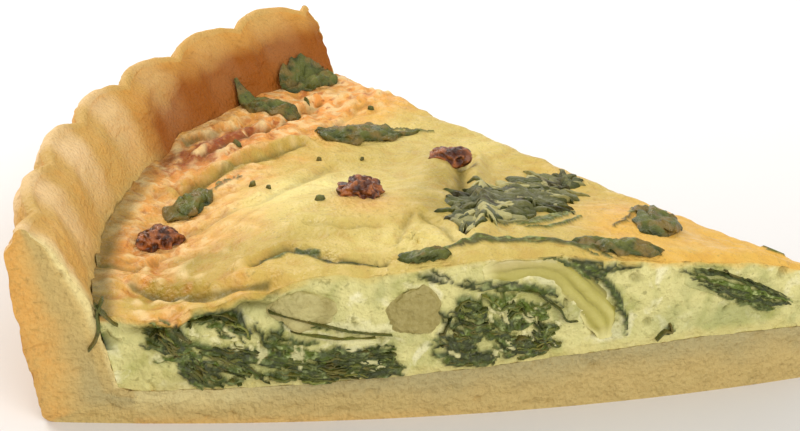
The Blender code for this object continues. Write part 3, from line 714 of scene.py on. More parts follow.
class Finish:
    """A material built step by step: a colour that layers cover, a roughness and a bump."""

    def __init__(self, name, colour, mottle_size, grain_size):
        self.material = bpy.data.materials.new(name)
        self.material.use_nodes = True
        self.nodes = self.material.node_tree.nodes
        self.links = self.material.node_tree.links
        self.shader = self.nodes["Principled BSDF"]
        self.grain = self.nodes.new("ShaderNodeGroup")
        self.grain.node_tree = grain_group()
        self.grain.inputs["Mottle size"].default_value = mottle_size
        self.grain.inputs["Grain size"].default_value = grain_size
        start = self.nodes.new("ShaderNodeRGB")
        start.outputs[0].default_value = (*colour, 1.0)
        self.colour = start.outputs[0]

    def mask(self, name):
        node = self.nodes.new("ShaderNodeAttribute")
        node.attribute_name = name
        return node.outputs["Fac"]

    def texture(self, size, detail=2.0, low=0.4, high=0.6, distortion=0.0):
        """A noise of its own, as a mask."""
        places = self.nodes.new("ShaderNodeTexCoord")
        texture = self.nodes.new("ShaderNodeTexNoise")
        texture.inputs["Scale"].default_value = size
        texture.inputs["Detail"].default_value = detail
        texture.inputs["Distortion"].default_value = distortion
        ranged = self.nodes.new("ShaderNodeMapRange")
        ranged.inputs["From Min"].default_value = low
        ranged.inputs["From Max"].default_value = high
        self.links.new(places.outputs["Object"], texture.inputs["Vector"])
        self.links.new(texture.outputs["Fac"], ranged.inputs["Value"])
        return ranged.outputs["Result"]

    def times(self, first, second, operation="MULTIPLY"):
        node = self.nodes.new("ShaderNodeMath")
        node.operation = operation
        node.use_clamp = True
        for socket, value in zip(node.inputs, (first, second)):
            if isinstance(value, (int, float)):
                socket.default_value = value
            else:
                self.links.new(value, socket)
        return node.outputs[0]

    def cover(self, masks, colour, strength=1.0):
        """Covers the colour with another where all the masks are white; text names an attribute."""
        masks = masks if isinstance(masks, tuple) else (masks,)
        sockets = [self.mask(mask) if isinstance(mask, str) else mask for mask in masks]
        factor = sockets[0]
        for socket in sockets[1:]:
            factor = self.times(factor, socket)
        if strength != 1.0:
            factor = self.times(factor, strength)
        mix = self.nodes.new("ShaderNodeMix")
        mix.data_type = "RGBA"
        self.links.new(factor, mix.inputs[0])
        self.links.new(self.colour, mix.inputs[6])
        mix.inputs[7].default_value = (*colour, 1.0)
        self.colour = mix.outputs[2]
        return self

    def done(self, low, high, bump, distance, wetness=0.0, rough_mask=None):
        """Joins the colour, a roughness that varies between two values, and the bump."""
        self.links.new(self.colour, self.shader.inputs["Base Color"])
        ranged = self.nodes.new("ShaderNodeMapRange")
        ranged.inputs["To Min"].default_value = low
        ranged.inputs["To Max"].default_value = high
        self.links.new(rough_mask or self.grain.outputs["Mottle"], ranged.inputs["Value"])
        self.links.new(ranged.outputs["Result"], self.shader.inputs["Roughness"])
        height = self.nodes.new("ShaderNodeBump")
        height.inputs["Strength"].default_value = bump
        height.inputs["Distance"].default_value = distance
        self.links.new(self.grain.outputs["Grain"], height.inputs["Height"])
        self.links.new(height.outputs["Normal"], self.shader.inputs["Normal"])
        self.shader.inputs["Specular IOR Level"].default_value = 0.3
        self.shader.inputs["Coat Weight"].default_value = wetness
        self.shader.inputs["Coat Roughness"].default_value = 0.18
        return self.material


def pastry_finish(colours):
    finish = Finish("Baked pastry", colours.crust_pale, 260.0, 1500.0)
    grain = finish.grain.outputs
    finish.cover(grain["Mottle"], srgb(206, 168, 96), 0.6)
    finish.cover("soaked", srgb(163, 152, 108), 0.9)
    finish.cover("browned", colours.crust_brown, 0.9)
    finish.cover(("browned", finish.texture(380.0, 4.0, 0.45, 0.68)), srgb(218, 158, 74), 0.75)
    # Dark orange-brown: painted shade on the far part of the inner wall and in the flute valleys, with deeper
    # browning at the outer edge of the cut
    finish.cover("deep", srgb(152, 80, 0), 0.95)
    # Painted highlight: pale peach on the crests of the flutes, high on the wall and towards the near cut
    finish.cover("peach", srgb(250, 214, 160), 0.9)
    # Painted highlight along the inner top edge of the pastry's cut, with paler pastry on the inner wall by
    # the front cut and on the base's cut near the wall
    finish.cover("inner_pale", srgb(240, 220, 152), 0.9)
    finish.cover((grain["Grain"], "cut"), srgb(224, 202, 134), 0.2)
    finish.cover((finish.texture(1100.0, 2.0, 0.55, 0.68), "cut"), srgb(140, 114, 54), 0.25)
    finish.cover((grain["Specks"], 0.5), srgb(140, 92, 34), 0.35)
    return finish.done(0.55, 0.8, 0.6, 0.0006)


def custard_finish(colours):
    name = "Baked custard"
    if name in bpy.data.materials:
        return bpy.data.materials[name]
    finish = Finish(name, colours.custard_pale, 300.0, 1300.0)
    grain = finish.grain.outputs
    dark_curd = finish.texture(130.0, 5.0, 0.5, 0.68, 0.8)
    light_curd = finish.texture(240.0, 4.0, 0.54, 0.66, 0.6)
    pale_crumb_and_glint = finish.texture(430.0, 4.0, 0.48, 0.58, 0.5)
    dark_crumb = finish.texture(620.0, 3.0, 0.57, 0.65, 0.5)
    finish.cover((grain["Mottle"], 0.5), srgb(182, 176, 104), 0.8)
    finish.cover(("open", dark_curd), srgb(160, 160, 78), 0.8)
    finish.cover(("open", light_curd), srgb(240, 232, 184), 0.8)
    finish.cover(("open", finish.texture(620.0, 3.0, 0.62, 0.7)), srgb(132, 124, 62), 0.6)
    finish.cover("shade", srgb(160, 160, 96), 0.8)
    finish.cover("green", srgb(158, 162, 104), 0.75)
    finish.cover("soaked", srgb(206, 190, 118), 0.9)
    finish.cover("skin", srgb(206, 178, 88), 0.9)
    finish.cover("gold", colours.custard_gold, 0.9)
    finish.cover("pale", srgb(250, 232, 148), 0.9)
    # Ochre: olive-brown skin, and painted shade on the mound's right wall and under the skin's lip at the cut
    finish.cover("ochre", srgb(162, 138, 48), 0.85)
    finish.cover("browned", colours.custard_brown, 0.9)
    # Pale crumbs in the browned zone, in part painted glints on the frothy skin
    finish.cover(("browned", pale_crumb_and_glint), srgb(252, 216, 152), 0.85)
    finish.cover(("browned", dark_crumb), srgb(180, 90, 30), 0.7)
    finish.cover("reddish", srgb(150, 66, 18), 0.95)
    # Painted highlights on the red-brown patch
    finish.cover(("reddish", finish.texture(900.0, 2.0, 0.55, 0.7)), srgb(218, 146, 84), 0.7)
    # Painted shade in the hollows of the skin's relief, together with a darker baked mottle, then a painted
    # highlight on its crests
    finish.cover("dip", srgb(184, 118, 40), 0.55)
    finish.cover("crest", srgb(248, 216, 150), 0.8)
    # Painted shade: dark olive in the creases of the folds, in the groove at the wall, under the skin's lip
    # and in the holes of the cut
    finish.cover("crease", srgb(92, 84, 22), 0.95)
    finish.cover((grain["Specks"], 0.6), srgb(150, 132, 70), 0.6)
    finish.cover("strand", srgb(228, 220, 164), 0.75)
    finish.cover("leaf", colours.spinach_dark, 0.95)
    finish.cover(("leaf", "tone"), srgb(96, 112, 30), 0.9)
    # Painted wet highlights on the leaves at the cuts
    finish.cover(("leaf", "tone", finish.texture(900.0, 2.0, 0.5, 0.64)), srgb(182, 190, 122), 0.8)
    finish.links.new(finish.times(finish.mask("leaf"), 0.1), finish.shader.inputs["Coat Weight"])
    return finish.done(0.35, 0.6, 0.5, 0.0007)


def spinach_finish(name, colours, grey_share, wetness, brown_share=0.45):
    finish = Finish(name, colours.spinach_dark, 420.0, 1800.0)
    grain = finish.grain.outputs
    finish.cover(grain["Mottle"], srgb(74, 82, 26), 0.7)
    finish.cover("tone", colours.spinach_grey, grey_share)
    finish.cover(finish.texture(330.0, 2.0, 0.46, 0.62), srgb(134, 108, 50), brown_share)
    finish.cover((finish.texture(700.0, 2.0, 0.55, 0.7), grain["Grain"]), srgb(20, 28, 6), 0.8)
    return finish.done(0.2, 0.45, 0.5, 0.0005, wetness=wetness)


def onion_finish(colours):
    finish = Finish("Soft onion", colours.onion_olive, 240.0, 1100.0)
    finish.cover("band", srgb(198, 188, 108), 0.85)
    finish.cover("blush", srgb(192, 174, 116), 0.8)
    finish.cover("rib", srgb(92, 88, 18), 0.9)
    finish.cover((finish.grain.outputs["Mottle"], 0.5), srgb(172, 160, 84), 0.7)
    finish.cover("edge", colours.custard_pale, 0.8)
    return finish.done(0.22, 0.4, 0.25, 0.0004, wetness=0.3)


def cheese_finish(colours):
    finish = Finish("Beige cheese", colours.cheese_beige, 300.0, 1500.0)
    finish.cover("light", srgb(206, 196, 132), 0.85)
    finish.cover(finish.grain.outputs["Mottle"], srgb(140, 126, 70), 0.5)
    finish.cover((finish.grain.outputs["Grain"], 0.6), srgb(206, 192, 132), 0.5)
    return finish.done(0.45, 0.65, 0.45, 0.0005)


def scorched_finish(colours):
    finish = Finish("Scorched tips", colours.scorched, 500.0, 1500.0)
    # Painted highlights: light orange-brown on the scorched tips away from their pits
    finish.cover("tone", srgb(190, 112, 56), 0.75)
    finish.cover(finish.texture(620.0, 2.0, 0.52, 0.64), srgb(48, 20, 4), 0.85)
    return finish.done(0.2, 0.45, 0.6, 0.0006, wetness=0.35)


def make_pastry(shapes, colours):
    """The pastry: a strip that runs along the base, turns up into the fluted wall and ends in a round rim."""
    block = start_block("fluted_pastry", ((20, 13), (20, 11), (13,)))
    along, across, thick = points_of(block).T
    share = spread(across)
    base_share, corner = 0.58, 0.08
    on_base = along <= base_share
    up = np.clip((along - base_share) / (1.0 - base_share), 0.0, 1.0)
    rise = np.clip((up - corner) / (1.0 - corner), 0.0, 1.0)
    turned = np.clip(up / corner, 0.0, 1.0)
    bend = angle_at(FOOT_RADIUS * np.ones_like(along), share)
    out_z = rise * RIM_HEIGHT
    out_r = outer_radius(out_z, bend) - 1.0 * np.clip(1.0 - out_z / 1.2, 0.0, 1.0) ** 2
    out_r = BASE_REACH + (out_r - BASE_REACH) * turned
    in_z = BASE_EDGE + 0.5 * turned**2 + (RIM_HEIGHT - BASE_EDGE - 0.5) * rise
    in_r = np.where(up < corner, BASE_REACH + 1.6 * turned, inner_radius(in_z, bend))
    rim = blend(0.86, 1.0, up)
    wall_r = out_r + (in_r - out_r) * (0.5 + (thick - 0.5) * (1.0 - 0.55 * rim**2))
    crown = 1.0 - (2.0 * (thick - 0.5)) ** 2
    worn = 0.5 * noise(np.stack([bend * WALL_ROUND, 0.0 * up, 0.0 * up], axis=1), 14.0, 3)
    wall_z = out_z + (in_z - out_z) * thick
    wall_z += (FLUTE_LIFT * flute(bend) + worn) * blend(0.4, 1.0, up) + rim * (0.85 * crown - 0.5)
    radius = np.where(on_base, TIP_BLUNT + (BASE_REACH - TIP_BLUNT) * along / base_share, wall_r)
    height = np.where(on_base, thick * base_height(radius), wall_z)
    angle = angle_at(np.maximum(radius, TIP_BLUNT), share)
    at = on_ray(radius, angle, height)
    cut_front, cut_far = across < 1e-6, across > 1.0 - 1e-6
    cut = (cut_front | cut_far).astype(float)
    wall = ~on_base & (up > corner)
    flaky = np.stack([at[:, 0] * 0.5, at[:, 1] * 0.5, at[:, 2] * np.where(on_base, 1.3, 0.35)], axis=1)
    pits = 1.6 * blend(0.35, 0.65, noise(at, 2.0, 35))
    relief = shapes.pastry_crumb / MM * (rough(flaky, 2.8, 31) + 0.8 * noise(at, 1.0, 34) - pits)
    relief *= blend(0.0, 0.8, height)
    angle = angle + np.where(cut_front, -relief, np.where(cut_far, relief, 0.0)) / np.maximum(radius, 2.0)
    face_out, face_in = thick < 1e-6, thick > 1.0 - 1e-6
    bumps = 0.3 * rough(at, 5.0, 41) + 0.2 * noise(at, 1.7, 44)
    cracks = 0.35 * blend(0.9, 0.99, 1.0 - np.abs(noise(at * (1.0, 1.0, 0.5), 7.0, 46)))
    radius = radius + np.where(wall & face_out, bumps - cracks, np.where(wall & face_in, cracks - bumps, 0.0))
    height = height + np.where(wall, 0.3 * rim * noise(at, 2.6, 47), 0.0)
    place_points(block, on_ray(radius, angle, np.maximum(height, 0.0)))
    in_wall, out_wall = face_in & wall, face_out & wall
    wave = 0.5 + 0.5 * flute(bend)
    mottle = 0.5 + 0.5 * rough(at, 8.0, 51)
    far_along = blend(0.3, 0.75, share)
    streaks = 0.5 + 0.5 * rough(np.stack([bend * WALL_ROUND, 0.3 * height, 0.0 * height], axis=1), 3.2, 53)
    outside = np.where(out_wall, 0.15 + 0.5 * mottle + 0.6 * blend(0.35, 0.75, streaks), 0.0)
    inside = np.where(in_wall, blend(18.0, 21.0, height) * (0.85 - 0.4 * wave) * (0.6 + 0.7 * mottle), 0.0)
    rim_brown = blend(0.55, 1.0, up) * (0.2 + 0.5 * mottle) * (0.5 + 0.6 * far_along)
    wall_cut = blend(0.62, 0.1, thick + 0.25 * (mottle - 0.5)) * (0.5 + 0.5 * blend(2.0, 22.0, height))
    toast = cut * on_base * 0.4 * blend(1.8, 0.0, height) * blend(40.0, 100.0, radius)
    under = (height < 0.3) & on_base & (cut < 1)
    skin = np.maximum.reduce([outside, inside * (0.6 + far_along), rim_brown])
    browned = np.where(cut > 0, cut * wall * wall_cut + toast, np.where(under, 0.55 + 0.3 * mottle, skin))
    set_mask(block, "browned", browned)
    # Painted shade on the far inner wall and in the valleys between the flutes; the last term below is deeper
    # browning at the outer edge of the cut
    deep = 1.5 * in_wall * blend(0.25, 0.8, far_along) * blend(31.0, 22.0, height) * (0.4 + mottle)
    deep += 0.8 * outside * blend(0.45, 0.95, 1.0 - wave) * blend(0.3, 0.7, mottle)
    set_mask(block, "deep", deep + 0.5 * cut * wall * blend(0.12, 0.0, thick) * mottle)
    # Painted highlight on the flute crests: high on the wall, fading towards the far cut
    peach = blend(0.6, 0.95, wave) * blend(0.5, 0.9, up) * (0.4 + 0.6 * mottle) * (1.0 - 0.9 * far_along)
    set_mask(block, "peach", (1.0 - cut) * peach)
    # lip is a painted highlight along the inner top edge of the cut; pale_side and creamy are paler pastry
    lip = cut * wall * blend(0.8, 0.92, thick) * blend(12.0, 17.0, height)
    creamy = cut * on_base * blend(82.0, 98.0, radius) * blend(0.3, 0.8, thick)
    pale_side = in_wall * blend(0.12, 0.0, across) * 0.8
    set_mask(block, "inner_pale", lip + pale_side + 0.5 * creamy)
    wet_base = 0.45 + 0.55 * blend(0.35, 1.0, thick + 0.3 * (mottle - 0.5))
    wet_wall = 0.3 * (thick < 0.8) + 0.6 * blend(18.0, 2.0, height) * blend(0.25, 0.8, thick)
    set_mask(block, "soaked", cut * np.where(on_base, wet_base, wet_wall))
    set_mask(block, "cut", cut)
    merge_faces(block, under_pastry)
    finish_piece(block, pastry_finish(colours), "crust", "pastry_crust")


FLAT_ENOUGH = 0.9  # the up part of the normal of a face that lies flat


def merge_faces(piece, hidden):
    """Turns the many small faces of a hidden side into a few large ones."""
    deselect()
    piece.select_set(True)
    bpy.context.view_layer.objects.active = piece
    bpy.ops.object.mode_set(mode="EDIT")
    bpy.ops.mesh.select_mode(type="FACE")
    bpy.ops.mesh.select_all(action="DESELECT")
    work = bmesh.from_edit_mesh(piece.data)
    for face in work.faces:
        face.select = bool(abs(face.normal.z) > FLAT_ENOUGH and hidden(face))
    bmesh.update_edit_mesh(piece.data)
    bpy.ops.mesh.dissolve_faces(use_verts=False)
    bpy.ops.object.mode_set(mode="OBJECT")
    deselect()


def under_pastry(face):
    return face.calc_center_median().z < 0.02 * MM


def under_custard(face):
    centre = face.calc_center_median() / MM
    radius = math.hypot(centre.x - TIP[0], centre.y - TIP[1])
    return face.normal.z < 0.0 and centre.z < base_height(radius) + 0.2


def wad_shape(rows, at_radius, share):
    """The under side and the top of a wad over the floor, at radii and shares."""
    middle = np.mean([row[0] for row in rows]) * np.ones_like(share)
    within = np.clip(share, 0.0, 1.0)
    covered = base_height(middle) + WAD_COVER
    room = (plain_top(middle, within) - covered) / (plain_top(middle, 0.0 * within) - covered)
    room = np.minimum(room, 1.0)
    floor = base_height(at_radius) + 0.3
    return floor + read_rows(rows, at_radius, 1) * room, floor + read_rows(rows, at_radius, 2) * room


def in_wad(rows, radius, height, share, inset=0.0):
    """1 inside the outline of a wad, or of a smaller one inside it, falling softly to 0 outside."""
    low, high = wad_shape(rows, radius, share)
    first, last = rows[0][0] + inset, rows[-1][0] - inset
    ends = blend(first - 0.6, first + 0.6, radius) * blend(last + 0.6, last - 0.6, radius)
    low, high = low + inset, high - inset
    return ends * blend(low - 0.7, low + 0.2, height) * blend(high + 0.8, high - 0.2, height)


# Soft ovals that colour the skin: strength, X and Y from the point, half length, half width, turn in degrees
BROWNED_SPOTS = (
    (-0.9, -103.0, 3.0, 11.0, 5.0, 0.0), (-0.8, -100.0, 11.0, 8.0, 4.5, -10.0),
    (0.5, -100.0, 12.0, 7.0, 7.0, 0.0), (0.4, -71.0, 17.0, 5.0, 4.5, 0.0),
)
GRAINY_SPOTS = ((0.4, -70.0, 84.0, 12.0, 9.0, 40.0), (0.3, -28.0, 22.0, 9.0, 8.0, 0.0))
RED_SPOTS = ((0.5, -104.0, 22.0, 5.0, 5.0, 0.0), (0.45, -72.0, 18.6, 4.2, 3.2, 0.0))
PALE_SPOTS = (
    (0.4, -76.0, 18.0, 19.0, 8.0, 18.0), (0.8, -66.0, 3.0, 9.0, 5.0, 0.0),
    (1.3, -80.0, 30.0, 14.0, 8.0, 20.0),
    (0.6, -58.0, 62.0, 9.0, 6.0, 40.0), (0.5, -44.0, 54.0, 14.0, 5.0, 52.0),
)
# The first two ovals lie on the mound's right wall and are painted shade; the rest are olive-brown skin
OCHRE_AND_SHADE_SPOTS = (
    (1.0, -60.4, 17.0, 4.0, 9.0, -12.0), (0.8, -55.6, 32.0, 3.6, 11.0, -18.0),
    (0.5, -84.0, 7.0, 8.0, 3.0, 10.0),
    (1.0, -103.0, 2.0, 9.0, 4.0, -10.0), (1.4, -100.0, 11.0, 9.0, 5.0, -10.0),
)
GOLD_SPOTS = (
    (1.0, -20.0, 14.0, 14.0, 9.0, 30.0), (0.8, -60.0, 76.0, 18.0, 9.0, 40.0),
    (0.7, -8.0, 6.0, 8.0, 6.0, 30.0),
    (0.5, -34.0, 40.0, 14.0, 6.0, 50.0),
)
GREEN_SPOTS = ((0.75, -45.0, 24.0, 21.0, 12.0, 54.0), (0.35, -95.0, 38.0, 8.0, 4.0, 45.0))
# The same at the cuts, by radius and height
STAINS = ((1.0, 92.0, 20.0, 5.0, 2.5, 0.0), (0.7, 22.0, 13.0, 12.0, 3.0, 0.0))
GREEN_FOLD, ORANGE_FOLD = FOLDS[3][0], FOLDS[4][0]


def make_custard(shapes, colours):
    """The custard: its skin with folds and browning, and its cut sides with drips, holes and stains."""
    block = start_block("egg_custard_piece", ((20, 13), (20, 10), (22, 2)))
    along, across, level = points_of(block).T
    share = spread(across)
    top_radius = TIP_BLUNT + (FILL_RADIUS - 0.1 - TIP_BLUNT) * along
    floor_radius = TIP_BLUNT + (CUSTARD_FOOT - TIP_BLUNT) * along
    over = top_height(top_radius, share, shapes.custard_folds / MM) - edge_round(top_radius, share)
    floor = base_height(floor_radius) + 0.05
    height = floor + (over - floor) * level
    wall = inner_radius(np.minimum(height, RIM_HEIGHT), angle_at(top_radius, share)) - 0.05
    radius = floor_radius + (top_radius - floor_radius) * level
    at_wall = CUSTARD_FOOT + (wall - CUSTARD_FOOT) * blend(0.0, 0.05, level)
    radius = np.where(along > 1.0 - 1e-6, at_wall, radius)
    angle = angle_at(radius, share)
    at = on_ray(radius, angle, height)
    x, y = at[:, 0] - TIP[0], at[:, 1] - TIP[1]
    front, far, top = across < 1e-6, across > 1.0 - 1e-6, level > 1.0 - 1e-6
    cut = (front | far).astype(float)
    hidden = np.maximum(*(in_wad(rows, radius, height, share, 2.2) for rows in (OUTER_WAD, INNER_WAD)))
    hidden = np.maximum(hidden, 0.8 * front * in_cheese(radius, height))
    under_skin = over - height
    lip_zone = blend(82.0, 92.0, radius) * blend(113.0, 106.0, radius)
    relief, leaf, tone, pale, shade_by_leaves = cut_relief(at, radius, height, front, far)
    overhang = 0.8 * lip_zone * blend(1.3, 2.2, under_skin) * blend(4.6, 2.7, under_skin)
    lip = 0.7 * blend(1.9, 0.7, under_skin) - overhang
    relief = np.clip(relief + lip * lip_zone - 1.4 * hidden, -2.2, 0.9) * blend(0.5, 4.0, radius)
    angle = angle + np.where(front, -relief, np.where(far, relief, 0.0)) / np.maximum(radius, 2.0)
    on_leaf, ridge, top_tone = paint(x[top], y[top], strands_along(TOP_GUIDES, 511, 0.6))
    height[top] += 0.45 * ridge
    leaf[top] = np.maximum(on_leaf * 0.9, leaf[top] * cut[top])
    tone[top] = np.maximum(top_tone, tone[top] * cut[top])
    place_points(block, on_ray(radius, angle, height))
    mottle = custard_cut_masks(block, at, radius, height, cut, (leaf, tone, pale, shade_by_leaves))
    stained = cut * (0.7 * hidden + 0.8 * spots(radius, height, STAINS))
    set_mask(block, "green", stained + (1.0 - cut) * spots(x, y, GREEN_SPOTS))
    skin_masks(block, at, radius, share, under_skin, (cut, top, lip_zone, mottle))
    merge_faces(block, under_custard)
    finish_piece(block, custard_finish(colours), "custard", "egg_custard")


def skin_masks(block, at, radius, share, under_skin, zones):
    """Where the skin of the custard is golden, browned, pale or ochre, with painted shade in its creases, its
    hollows and under its lip and painted highlights on its crests.
    """
    cut, top, lip_zone, mottle = zones
    x, y = at[:, 0] - TIP[0], at[:, 1] - TIP[1]
    fine = 0.5 + 0.5 * noise(at, 1.8, 74)
    near_skin = cut * blend(1.3, 0.1, under_skin + 0.9 * noise(at, 2.6, 70)) * (0.45 + 0.55 * lip_zone)
    skin = np.where(top, 1.0, near_skin)
    set_mask(block, "skin", skin)
    wall_zone = blend(86.0, 106.0, radius + 9.0 * (mottle - 0.5))
    orange_line = np.exp(-((line_distance(x, y, ORANGE_FOLD)[0] / 3.0) ** 2))
    green_line = np.exp(-((line_distance(x, y, GREEN_FOLD)[0] / 2.6) ** 2))
    browned = wall_zone * (0.35 + 0.75 * fine) * (0.55 + 0.8 * mottle) - 0.9 * green_line
    browned += 0.7 * (orange_line + spot(x, y, -86.0, 58.0, 18.0, 6.0, 42.0)) * (0.4 + 0.8 * fine)
    browned += spots(x, y, BROWNED_SPOTS) + spots(x, y, GRAINY_SPOTS) * fine
    set_mask(block, "browned", browned * skin)
    reddish = 2.4 * spot(x, y, -91.5, 57.0, 10.0, 3.6, 38.0) * blend(0.2, 0.5, fine)
    reddish += 0.8 * spot(x, y, -85.0, 64.0, 7.0, 1.4, 40.0) * blend(0.4, 0.6, fine)
    set_mask(block, "reddish", (reddish + spots(x, y, RED_SPOTS) * fine) * skin)
    flat = at * (1.0, 1.0, 0.0)
    warped = at + 3.0 * np.stack([noise(flat, 9.0, 5), noise(flat, 9.0, 6), 0.0 * x], axis=1)
    # The same noise as the skin's relief: painted shade in its hollows and painted highlight on its crests
    dips = noise(warped * (1.0, 1.0, 0.0), 2.7, 12) + 0.8 * noise(flat, 1.9, 13)
    set_mask(block, "dip", np.where(top, blend(0.05, -0.7, dips) * (0.35 + 0.65 * wall_zone), 0.0))
    set_mask(block, "crest", np.where(top, blend(0.1, 0.8, dips) * (0.25 + 0.75 * wall_zone), 0.0))
    set_mask(block, "pale", spots(x, y, PALE_SPOTS) * (0.6 + 0.5 * mottle) * skin)
    # The last term is painted shade under the skin's lip at the cut
    ochre = spots(x, y, OCHRE_AND_SHADE_SPOTS) + 0.8 * green_line + 0.7 * cut * lip_zone * blend(3.0, 1.2, under_skin)
    set_mask(block, "ochre", ochre * (0.45 + 0.7 * mottle) * np.maximum(skin, cut * lip_zone))
    gold = spots(x, y, GOLD_SPOTS) + 1.1 * blend(46.0, 30.0, radius) + 0.6 * blend(80.0, 96.0, radius)
    set_mask(block, "gold", gold * skin * (0.5 + 0.7 * mottle))
    # Painted shade along the creases of the folds
    fold_shade = np.zeros(len(x))
    wobble = fold_wobble(at)
    for path, _, width, dark in FOLDS:
        line = blend(0.85, 0.15, line_distance(x + wobble, y - wobble, path)[0] / width)
        fold_shade = np.maximum(fold_shade, dark * line * (0.55 + 0.6 * fine))
    shadow = 0.7 * cut * lip_zone * blend(1.5, 2.1, under_skin) * blend(3.6, 2.4, under_skin)
    # Painted shade in the groove where the custard meets the wall, fading towards the far cut
    groove_shade = blend(109.8, 112.4, radius) * (0.6 + 0.4 * fine) * blend(0.8, 0.15, share)
    # Painted shade in the holes of the cut
    holes = 0.4 * cut * blend(0.5, 0.7, noise(at, 2.4, 66))
    set_mask(block, "crease", np.where(top, fold_shade + groove_shade, 0.0) + shadow + holes)


def in_cheese(radius, height):
    """1 over the faces of the two chunks of cheese."""
    left = np.exp(-(((radius - 84.0) / 4.4) ** 2 + ((height - 18.4) / 2.9) ** 2) ** 2)
    right = np.exp(-(((radius - 67.9) / 3.1) ** 2 + ((height - 17.8) / 3.4) ** 2) ** 2)
    return np.maximum(left, right)


def make_wad(name, rows, node, ribbons, seed, colours):
    """A wad of spinach that runs through the slice, with crumpled leaf edges at both cuts."""
    block = start_block(name + "_core", ((14, 12), (16,), (5, 9)))
    along, share, level = points_of(block).T
    radius = rows[0][0] + (rows[-1][0] - rows[0][0]) * along
    low, high = wad_shape(rows, radius, share)
    height = low + (high - low) * level
    angle = angle_at(radius, share)
    at = on_ray(radius, angle, height)
    front, far = share < 1e-6, share > 1.0 - 1e-6
    relief, *painted = cut_relief(at, radius, height, front, far)
    tuck = blend(0.0, 0.12, level) * blend(1.0, 0.88, level)
    tuck *= blend(0.0, 0.05, along) * blend(1.0, 0.95, along)
    relief = np.clip(relief + 0.12, -1.2, 1.1) - 0.5 * (1.0 - tuck)
    angle = angle + np.where(front, -relief, np.where(far, relief, 0.0)) / radius
    place_points(block, on_ray(radius, angle, height))
    custard_cut_masks(block, at, radius, height, (front | far).astype(float), painted)
    finish_piece(block, custard_finish(colours), "spinach", node)
    front_leaf, _, far_leaf, _ = cut_strands()
    draw = np.random.default_rng(seed)
    grids = []
    for side, strands in ((0.0, front_leaf), (1.0, far_leaf)):
        inside = [s for s in strands if rows[0][0] - 1.0 < s[0][:, 0].mean() < rows[-1][0] + 1.0]
        for k in range(ribbons):
            line, widths, tone_here = inside[draw.integers(len(inside))]
            r, z = line[:, 0] + draw.normal(0.0, 0.25), line[:, 1] + draw.normal(0.0, 0.25)
            floor, ceiling = wad_shape(rows, r, np.full(len(r), side))
            z = np.clip(z, floor + 0.2, ceiling + 1.2)
            turned = angle_at(r, np.full(len(r), side))
            path = on_ray(r, turned, z)
            inwards = np.array((0.0, 1.0, 0.0))
            if side > 0.5:
                inwards = np.array((-math.sin(SLICE_ANGLE), -math.cos(SLICE_ANGLE), 0.0))
            thick = 1.15 * float(widths.max())
            upper, lower = ribbon(path - 0.35 * inwards, inwards, 1.6, thick, 0.2, seed + k)
            grids.append((upper, lower, float(np.clip(tone_here + draw.normal(0.05, 0.15), 0.0, 1.0))))
    edges = from_grids(name + "_leaf_edges", grids)
    finish_piece(edges, spinach_finish(name + " wet leaf", colours, 0.7, 0.05, 0.3), "spinach")


def make_onion(colours):
    """The curved onion: soft layers that follow its arc, with a rib along its outer edge."""
    block = start_block("onion_slice_piece", ((12, 12), (8,), (24,)))
    along, depth, level = points_of(block).T
    around = ONION_FROM + (ONION_TO - ONION_FROM) * along
    ends = blend(0.0, 0.16, along) * blend(1.0, 0.84, along)
    reach = ONION_INNER + (ONION_OUTER - ONION_INNER) * (0.5 + (level - 0.5) * (0.45 + 0.55 * ends))
    shaken = np.stack([around * 16.0, depth * ONION_DEPTH, reach], axis=1)
    reach = reach + 0.8 * noise(shaken, 8.0, 81) + 0.2 * noise(shaken, 3.0, 86)
    radius = ONION_CENTRE[0] - reach * np.cos(around)
    height = ONION_CENTRE[1] + reach * np.sin(around)
    layered = level * 2.5 + 0.6 * noise(shaken * (1.0, 1.0, 0.3), 9.0, 82)
    stripes = np.abs((layered % 1.0) - 0.5) * 2.0
    relief = 0.22 * (1.0 - stripes**2) + 0.25 * rough(shaken, 3.4, 83) - 0.2
    relief += 0.5 * (1.0 - (2.0 * level - 1.0) ** 2)
    into = depth * ONION_DEPTH - np.where(depth < 1e-6, relief * (0.4 + 0.6 * ends), 0.0)
    share = np.clip(into / (radius * (SLICE_ANGLE - front_angle(radius))), 0.0, 1.0)
    height = np.minimum(height, top_height(radius, share) - edge_round(radius, share) - 0.35)
    place_points(block, on_ray(radius, front_angle(radius) + into / radius, height))
    set_mask(block, "band", blend(0.8, 0.2, stripes) * (0.55 + 0.6 * noise(shaken, 5.0, 84)))
    set_mask(block, "blush", blend(0.45, 0.85, along) * blend(0.2, 0.7, level))
    line = blend(0.8, 1.0, stripes) * (0.35 + 0.5 * noise(shaken, 6.0, 87))
    set_mask(block, "rib", line + blend(0.84, 0.97, level) * blend(0.9, 0.45, along))
    set_mask(block, "edge", blend(0.14, 0.0, level) + blend(0.1, 0.0, along) + blend(0.9, 1.0, along))
    finish_piece(block, onion_finish(colours), "onion", "onion_slice")


# Outline of the folded leaf: radius, then the heights of its under side and its top
TIP_LEAF = (
    (6.6, 13.1, 14.2), (9.0, 13.0, 15.9), (13.0, 13.6, 18.0), (20.0, 16.2, 20.9), (25.4, 18.4, 22.3),
    (27.2, 20.0, 21.8),
)


